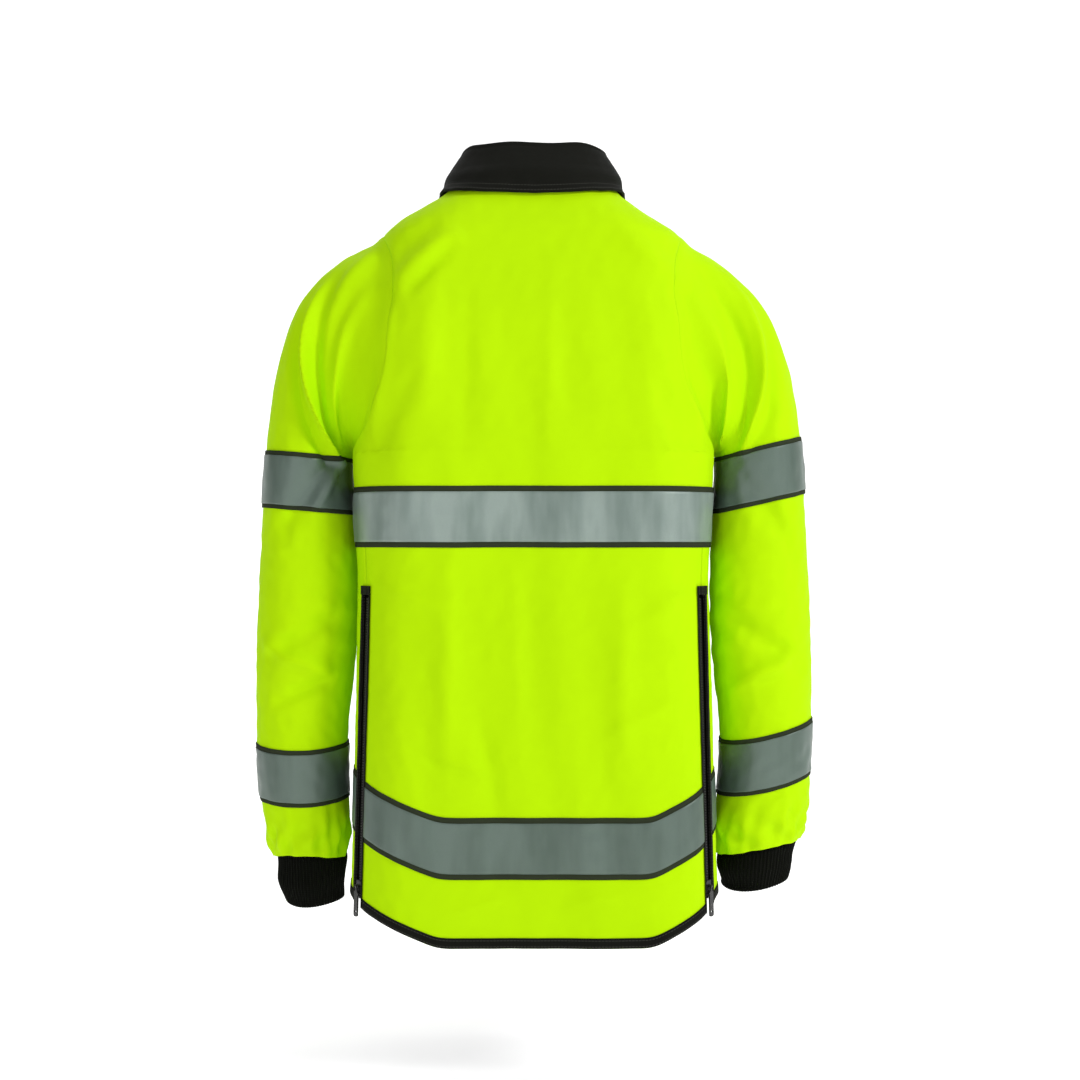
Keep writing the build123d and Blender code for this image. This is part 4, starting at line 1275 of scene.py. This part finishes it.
theta = np.linspace(-math.radians(175), math.radians(175), 281)
degrees = np.degrees(np.abs(theta))
soft = np.linspace(-12, 12, 9)
# the roll line and the lower edge, averaged over 12 degrees either way
topZ = np.mean([np.interp(degrees + d, collar["angles"], collar["top"]) for d in soft], 0)
lowZ = np.mean([np.interp(degrees + d, collar["angles"], collar["low"]) for d in soft], 0)
topZ = topZ - 0.0016 * bump(degrees, 0, 26) + 0.0008 * np.sin(theta * 7)
around = np.where(theta < 0, -1, 1) * (2 - np.abs(theta) / (math.pi / 2))
# the leaf runs from the roll line to the lower edge, from the collar's own ring onto the shell
s = np.linspace(0, 1, 34)[:, None]
leafZ = (topZ - 0.004) * (1 - s) + (lowZ + 0.003) * s
onCollar = collarRing(theta + 0 * leafZ, leafZ, 0.0046)
onShell = clothPoint(around + 0 * leafZ, leafZ, 0.0052 + 0 * leafZ)[0]
share = smoothStep(s, 0.15, 1.0)[..., None]
leaf = onCollar * (1 - share) + onShell * share
# where the leaf would dip under the shell it is pushed out to lie on it
reach = np.linalg.norm(leaf[..., :2], axis=-1)
least = np.linalg.norm(onShell[..., :2], axis=-1)
push = np.where(leafZ < 0.032, np.maximum(least / reach, 1), 1)
leaf[..., :2] *= (1 + (push - 1) * smoothStep(-leafZ, -0.032, -0.014))[..., None]
direction = unitVectors(np.stack([np.sin(theta), np.cos(theta), 0 * theta], -1))
belly = (0.0034 * np.sin(math.pi * s ** 0.8) * (1 + 0.25 * np.sin(theta * 5 + 1)))[..., None]
wrinkle = (0.0012 * crumple(theta * 0.09 + 0.3, 0 * theta) * np.sin(math.pi * s))[..., None]
fall = leaf + direction[None] * (belly + wrinkle)
# over the roll: six rows turned about its line
over = []
for turn in np.radians([170, 140, 110, 80, 50, 20]):
    lift = collarRing(theta, topZ - 0.004, 0.0046 - 0.0042 * (1 - math.cos(turn)) * 0.55)
    lift[:, 2] += 0.0040 * math.sin(turn)
    over.append(lift)
fallGrid = np.concatenate([np.array(over), fall])
fallPiece = gridPiece("collar_leaf", fallGrid, flip=False)
drop = np.concatenate([np.full((6, 1), 0.06), 0.058 * (1 - s)]) + 0 * theta[None]
endways = (math.radians(175) - np.abs(theta))[None] * 0.095 + 0 * drop
around = theta[None] * 0.095 + 0 * drop
downward = np.concatenate([np.zeros((6, 1)), 0.06 * s]) + 0 * drop
setSeam(fallPiece, np.minimum(drop, endways), np.where(drop < endways, around, downward))
thicken(fallPiece, 0.0024)
finishPiece(fallPiece, [trimStitched], "torso", ["collar_fall"])

# the stand: inside the leaf, from the roll line down to the neck seam
s = np.linspace(0, 1, 24)[:, None, None]
standTop = collarRing(theta, topZ - 0.004, -0.0012)
standLow = collarRing(theta, np.minimum(lowZ + 0.010, topZ - 0.02), -0.004)
standGrid = standTop[None] * (1 - s) + standLow[None] * s
standPiece = gridPiece("collar_band", standGrid, flip=False)
standDrop = 0.055 * s[..., 0] + 0 * theta[None]
setSeam(standPiece, standDrop, theta[None] * 0.09 + 0 * standDrop)
thicken(standPiece, 0.0022)
finishPiece(standPiece, [trimStitched], "torso", ["collar_stand"])

# the hanging loop: an arch of tape inside the neck
a = np.linspace(math.radians(12), math.radians(168), 48)
loopLow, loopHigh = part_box("hang_loop")
loopMiddle = (loopLow + loopHigh) / 2
wide, deep = (loopHigh.x - loopLow.x) / 2, (loopHigh.y - loopLow.y)
arc = np.stack([wide * np.cos(a), loopHigh.y - deep * np.sin(a) ** 0.8, 0 * a + loopMiddle.z], -1)
heights = np.linspace(-0.004, 0.004, 5)[:, None, None] * np.array([0, 0, 1.0])
loopPiece = gridPiece("hanging_loop", arc[None] + heights)
fromEdge = 0.004 + np.linspace(-0.004, 0.004, 5)[:, None] + 0 * a[None]
setSeam(loopPiece, fromEdge, a[None] * 0.03 + np.zeros((5, 1)))
thicken(loopPiece, 0.0012, offset=0)
finishPiece(loopPiece, [trimStitched], "torso", ["hang_loop"])
print("collar")


def roundedHalf(width, length, radius, down):
    # half width of a strip whose lower corners are rounded
    low = np.clip(down - (length - radius), 0, radius)
    return width - radius + np.sqrt(np.maximum(radius ** 2 - low ** 2, 0))


def capMesh(name, places, outward, radius, height):
    # a snap cap: a rim, a shallow groove and a dome, turned round the outward axis
    profile = np.array([
        (0.93, -0.10), (1.0, 0.05), (1.0, 0.35), (0.94, 0.55), (0.84, 0.50),
        (0.78, 0.62), (0.55, 0.86), (0.28, 0.98), (0.0, 1.0),
    ])
    steps = 20
    turn = np.linspace(0, 2 * math.pi, steps, endpoint=False)
    sideways = unitVectors(np.cross(outward, [1.0, 0, 0.001]))
    other = np.cross(outward, sideways)
    ring = np.cos(turn)[:, None] * sideways + np.sin(turn)[:, None] * other
    cap = profile[:, None, :1] * radius * ring[None] + profile[:, None, 1:] * height * outward
    points = (np.asarray(places)[:, None, None] + cap[None]).reshape(-1, 3)
    faces = gridFaces(len(profile), steps, wrap=True)
    step = len(profile) * steps
    faces = (faces[None] + step * np.arange(len(places))[:, None, None]).reshape(-1, 4)
    p = points[faces[0]]
    if np.dot(np.cross(p[1] - p[0], p[2] - p[1]), p[0] - np.asarray(places)[0]) < 0:
        faces = faces[:, ::-1]
    piece = makeMesh(name, points, faces)
    weld = piece.modifiers.new("weld", "WELD")
    weld.merge_threshold = 0.00002
    return piece


# the storm flap's cross section, in millimetres: across the coat, and out from the closure
stormFlap = dict(
    path=[
        (36, 0.4), (30, 2.3), (22, 4.4), (10, 4.5), (-10, 4.5), (-19, 4.4), (-25, 2.2), (-33, 2.2), (-40, 2.2),
    ],
    top=0.046, length=0.645, cloth=0.0018, radius=0.010, sewn=0.036, free=0.040, capX=-0.032,
    capDown=(0.062, 0.145, 0.225, 0.345, 0.455, 0.555, 0.665),
)
cap = dict(radius=0.0065, height=0.0022)
path = np.array(stormFlap["path"]) / 1000
xs = np.concatenate([
    np.linspace(stormFlap["sewn"], 0.012, 14), np.linspace(0.010, -0.015, 9), np.linspace(-0.017, -0.040, 16),
])
order = np.argsort(path[:, 0])
outs = np.mean([np.interp(xs + d, path[order, 0], path[order, 1]) for d in np.linspace(-0.002, 0.002, 5)], 0)
downs = np.linspace(0, stormFlap["length"], 240)
# both corners of the free edge are rounded
radius = stormFlap["radius"]
corner = np.clip(np.maximum(radius - downs, downs - (stormFlap["length"] - radius)), 0, radius)
edgeX = stormFlap["free"] - radius + np.sqrt(np.maximum(radius ** 2 - corner ** 2, 0))
share = np.clip(-xs / stormFlap["free"], 0, 1)[None, :]
x = np.where(xs[None, :] < 0, -share * edgeX[:, None], xs[None, :])
wavy = 0.0003 * np.sin(downs * 44)[:, None] * share + 0.0002 * np.sin(downs * 97 + 1)[:, None] * share
flapPoints = closurePoint(x, downs[:, None] + stormFlap["top"], outs[None, :] + stormFlap["cloth"] + wavy)
piece = gridPiece("front_storm_flap", flapPoints, flip=True)
down = downs[:, None] + 0 * x
fromEdge = np.minimum(np.minimum(x + edgeX[:, None], down), stormFlap["length"] - down)
fromEdge = np.minimum(fromEdge, np.abs(stormFlap["sewn"] - x) + 0.0005)
fromEnds = np.minimum(downs, stormFlap["length"] - downs)[:, None]
setSeam(piece, fromEdge, np.where(fromEdge < fromEnds, down, x))
thicken(piece, stormFlap["cloth"])
finishPiece(piece, [limeTopstitched, trim], "storm", ["storm_flap"])

spots = closurePoint(stormFlap["capX"], np.array(stormFlap["capDown"]), 0.0048)
piece = capMesh("storm_flap_caps", spots, closureOut, **cap)
finishPiece(piece, [snapMetal], "storm", ["flap_snap_caps"])


def wall(distance, radius):
    # a quarter circle up from the edge
    t = np.clip(1 - distance / radius, 0, 1)
    return np.sqrt(np.maximum(1 - t ** 2, 0))


pocket = dict(
    inner=0.046, outer=0.144, top=0.387, drop=0.175, depth=0.014, cloth=0.0012,
    sideRadius=0.008, endRadius=0.009,
)
# the pocket flap's path: distance down it, and out from the shell
pocketFlap = dict(
    top=0.380, middle=0.095, half=0.051, length=0.058, radius=0.012, cloth=0.0014, capX=(-0.028, 0.028),
    path=[(0, 0.0022), (0.004, 0.0034), (0.010, 0.0120), (0.014, 0.0166), (0.030, 0.0170), (0.058, 0.0168)],
)
flapPath = np.array(pocketFlap["path"])
for side, word in ((1, "left"), (-1, "right")):
    ease = np.linspace(0, 1, 60)
    ease = ease - 0.10 * np.sin(2 * math.pi * ease)
    x = lerp(pocket["inner"], pocket["outer"], ease)[None, :]
    down = (pocket["top"] + pocket["drop"] * np.linspace(0, 1, 90))[:, None]
    edgeIn = np.minimum(x - pocket["inner"], pocket["outer"] - x)
    edgeDown = np.minimum(pocket["top"] + pocket["drop"] - down, down - pocket["top"])
    slack = 1 + 0.08 * np.sin((x - pocket["inner"]) * 70) * np.sin((down - pocket["top"]) * 26 + side)
    rise = wall(edgeIn, pocket["sideRadius"]) * wall(edgeDown, pocket["endRadius"])
    out = pocket["cloth"] + (pocket["depth"] - pocket["cloth"]) * rise * np.clip(slack, 0.9, 1.0)
    x, down, out = np.broadcast_arrays(x, down, out)
    z = closureTop[2] + down * closureDown[2]
    total = frontLength(z)
    flat = z - hemRise(x / total, z)
    flat = z - hemRise(x / total, flat)
    points = clothPoint(side * x / total, flat, out)[0]
    piece = gridPiece(f"{word}_bellows_pocket", points, flip=side > 0)
    edgeIn, fromEnd = edgeIn + 0 * x, np.abs(pocket["top"] + pocket["drop"] - down)
    fromEdge = np.minimum(edgeIn, fromEnd)
    run = np.where(edgeIn < fromEnd, down, x)
    setSeam(piece, fromEdge - 0.007, run)
    finishPiece(piece, [limeTopstitched], "torso", [f"{word}_pocket"])

    # pocket flap: down the shell, over the bellows and straight down its face
    v = np.concatenate([np.linspace(0, 0.016, 16), np.linspace(0.0175, pocketFlap["length"], 24)])
    nearby = np.linspace(-0.0015, 0.0015, 5)
    outs = np.mean([np.interp(v + d, flapPath[:, 0], flapPath[:, 1]) for d in nearby], 0)
    widths = roundedHalf(pocketFlap["half"], pocketFlap["length"], pocketFlap["radius"], v)
    u = np.linspace(-1, 1, 52)
    x = pocketFlap["middle"] + u[None, :] * widths[:, None]
    downV = v[:, None] + 0 * x
    sag = smoothStep(v, 0.02, pocketFlap["length"])[:, None]
    bow = 0.0012 * (1 - u[None, :] ** 2) * sag * np.cos(u * 9)[None, :] * 0.4
    points = closurePoint(side * x, pocketFlap["top"] + downV, outs[:, None] + 0.0012 + bow)
    piece = gridPiece(f"{word}_pocket_cover", points, flip=side > 0)
    fromSides = (1 - np.abs(u))[None, :] * widths[:, None]
    fromLow = pocketFlap["length"] - downV
    fromEdge = np.minimum(np.minimum(fromSides, fromLow), downV + 0.0006)
    run = np.where(fromSides <= np.minimum(fromLow, downV), downV, x)
    setSeam(piece, fromEdge, run)
    thicken(piece, pocketFlap["cloth"])
    finishPiece(piece, [limeTopstitched, trim], f"{word}_flap", [f"{word}_pocket_flap"])
    capLow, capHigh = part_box(f"{word}_pocket_flap_caps")
    capMiddle = (capLow + capHigh) / 2
    capAt = (torso["closureTop"] - capMiddle.z) / -closureDown[2]
    spots = closurePoint(side * (pocketFlap["middle"] + np.array(pocketFlap["capX"])), capAt, 0.0180)
    piece = capMesh(f"{word}_pocket_caps", spots, closureOut, **cap)
    finishPiece(piece, [snapMetal], f"{word}_flap", [f"{word}_pocket_flap_caps"])

# microphone tabs: short straps, sewn at both ends and arched between them
tab = dict(inner=0.046, length=0.046, sewnOut=0.0016, arch=0.0034, cloth=0.0012)
tabLow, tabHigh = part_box("mic_tabs")
grids, seams, runs = [], [], []
tabDown = np.linspace(torso["closureTop"] - tabHigh.z, torso["closureTop"] - tabLow.z, 9)[:, None]
for side in (1, -1):
    spanX = np.linspace(tab["inner"], tab["inner"] + tab["length"], 36)[None, :]
    t = (spanX - tab["inner"]) / tab["length"]
    out = tab["sewnOut"] + tab["arch"] * smoothStep(np.sin(math.pi * t), 0.35, 0.9)
    grids.append((closurePoint(side * spanX, tabDown, out + 0 * tabDown), side > 0))
    distance = np.minimum(tabDown - tabDown[0], tabDown[-1] - tabDown) + 0 * spanX
    seams.append(distance.ravel())
    runs.append((spanX + 0 * tabDown).ravel())
piece = joinGrids("microphone_tabs", grids)
setSeam(piece, np.concatenate(seams), np.concatenate(runs))
thicken(piece, tab["cloth"], offset=0)
finishPiece(piece, [trimStitched], "torso", ["mic_tabs"])
print("flap, pockets, tabs and snaps")


# the small hard parts stay as they were modelled, in metal
for nodeName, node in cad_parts.items():
    if not node.hide_render:
        node.data.materials.clear()
        node.data.materials.append(snapMetal if "snap" in nodeName else enamel)
print("kept nodes:", [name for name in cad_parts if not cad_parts[name].hide_render])
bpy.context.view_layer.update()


# the backdrop: a floor that falls away, a quarter round and a wall
floor = dict(z=-0.92, near=4.5, fall=6.3, far=-1.8, radius=1.4, wallRise=4, halfWidth=6)
bend = np.interp(np.linspace(0, 1, 60), [0, 0.55, 0.75, 1.0], [0, 1, 2, 3])
quarter = (bend - 1) * math.pi / 2
curveY = floor["far"] - np.sin(quarter) * floor["radius"]
curveZ = floor["z"] + (1 - np.cos(quarter)) * floor["radius"]
wallZ = floor["z"] + floor["radius"] + (bend - 2) * floor["wallRise"]
floorY = np.where(bend < 1, floor["near"] - bend * floor["fall"], np.where(bend < 2, curveY, -3.2))
floorZ = np.where(bend < 1, floor["z"], np.where(bend < 2, curveZ, wallZ))[:, None]
floorX = np.linspace(-floor["halfWidth"], floor["halfWidth"], 20)[None, :]
floorY = floorY[:, None]
sweep = np.stack([floorX + 0 * floorY, floorY + 0 * floorX, floorZ + 0 * floorX], -1)
backdrop = gridPiece("studio_sweep", sweep)
paper = bpy.data.materials.new("paper")
paper.use_nodes = True
n = Nodes(paper.node_tree)
shader = paper.node_tree.nodes["Principled BSDF"]
place = n.add("ShaderNodeTexCoord")
mottle = n.noise(place.outputs["Object"], 3.0)
n.put(shader, "Base Color", n.mixColour(mottle, (0.90, 0.90, 0.90), (0.94, 0.94, 0.94)))
n.put(shader, "Roughness", 0.9)
n.put(shader, "Emission Color", (1, 1, 1, 1))
n.put(shader, "Emission Strength", 0.40)
backdrop.data.materials.append(paper)


def areaLight(name, place, target, size, power):
    # a rectangular lamp at place, turned towards target
    light = bpy.data.lights.new(name, "AREA")
    light.shape = "RECTANGLE"
    light.size, light.size_y = size
    light.energy = power
    lamp = bpy.data.objects.new(name, light)
    lamp.location = place
    direction = Vector(target) - Vector(place)
    lamp.rotation_euler = direction.to_track_quat("-Z", "Y").to_euler()
    bpy.context.scene.collection.objects.link(lamp)
    return lamp


# each lamp: where it stands, where it points, its size and its power
lamps = dict(
    key=((-2.1, 1.6, 1.1), (0, 0, -0.35), (0.6, 0.6), 50),
    fill=((1.2, 2.6, 0.0), (0, 0, -0.4), (1.4, 1.4), 11),
    front=((0.4, -2.6, 1.2), (0, 0, -0.35), (2.2, 2.2), 22),
    top=((0, 0.2, 2.2), (0, 0, -0.3), (2.0, 2.0), 16),
)
for name, lamp in lamps.items():
    areaLight(name, *lamp)
# the surroundings: bright to the camera, dim as light
world = bpy.data.worlds.new("studio")
world.use_nodes = True
w = Nodes(world.node_tree)
seen = w.add("ShaderNodeLightPath").outputs["Is Camera Ray"]
w.put(world.node_tree.nodes["Background"], 0, (1, 1, 1, 1))
w.put(world.node_tree.nodes["Background"], 1, w.math("MULTIPLY_ADD", seen, 0.66, 0.34))
scene = bpy.context.scene
scene.world = world
scene.view_settings.view_transform = "Standard"
camera = bpy.data.objects.new("camera", bpy.data.cameras.new("camera"))
camera.data.lens, camera.data.sensor_width = 60, 36
camera.location = (-0.0065, 1.925, -0.358)
camera.rotation_euler = (math.pi / 2, 0, math.pi)
scene.collection.objects.link(camera)
scene.camera = camera
print("backdrop, lights and camera")
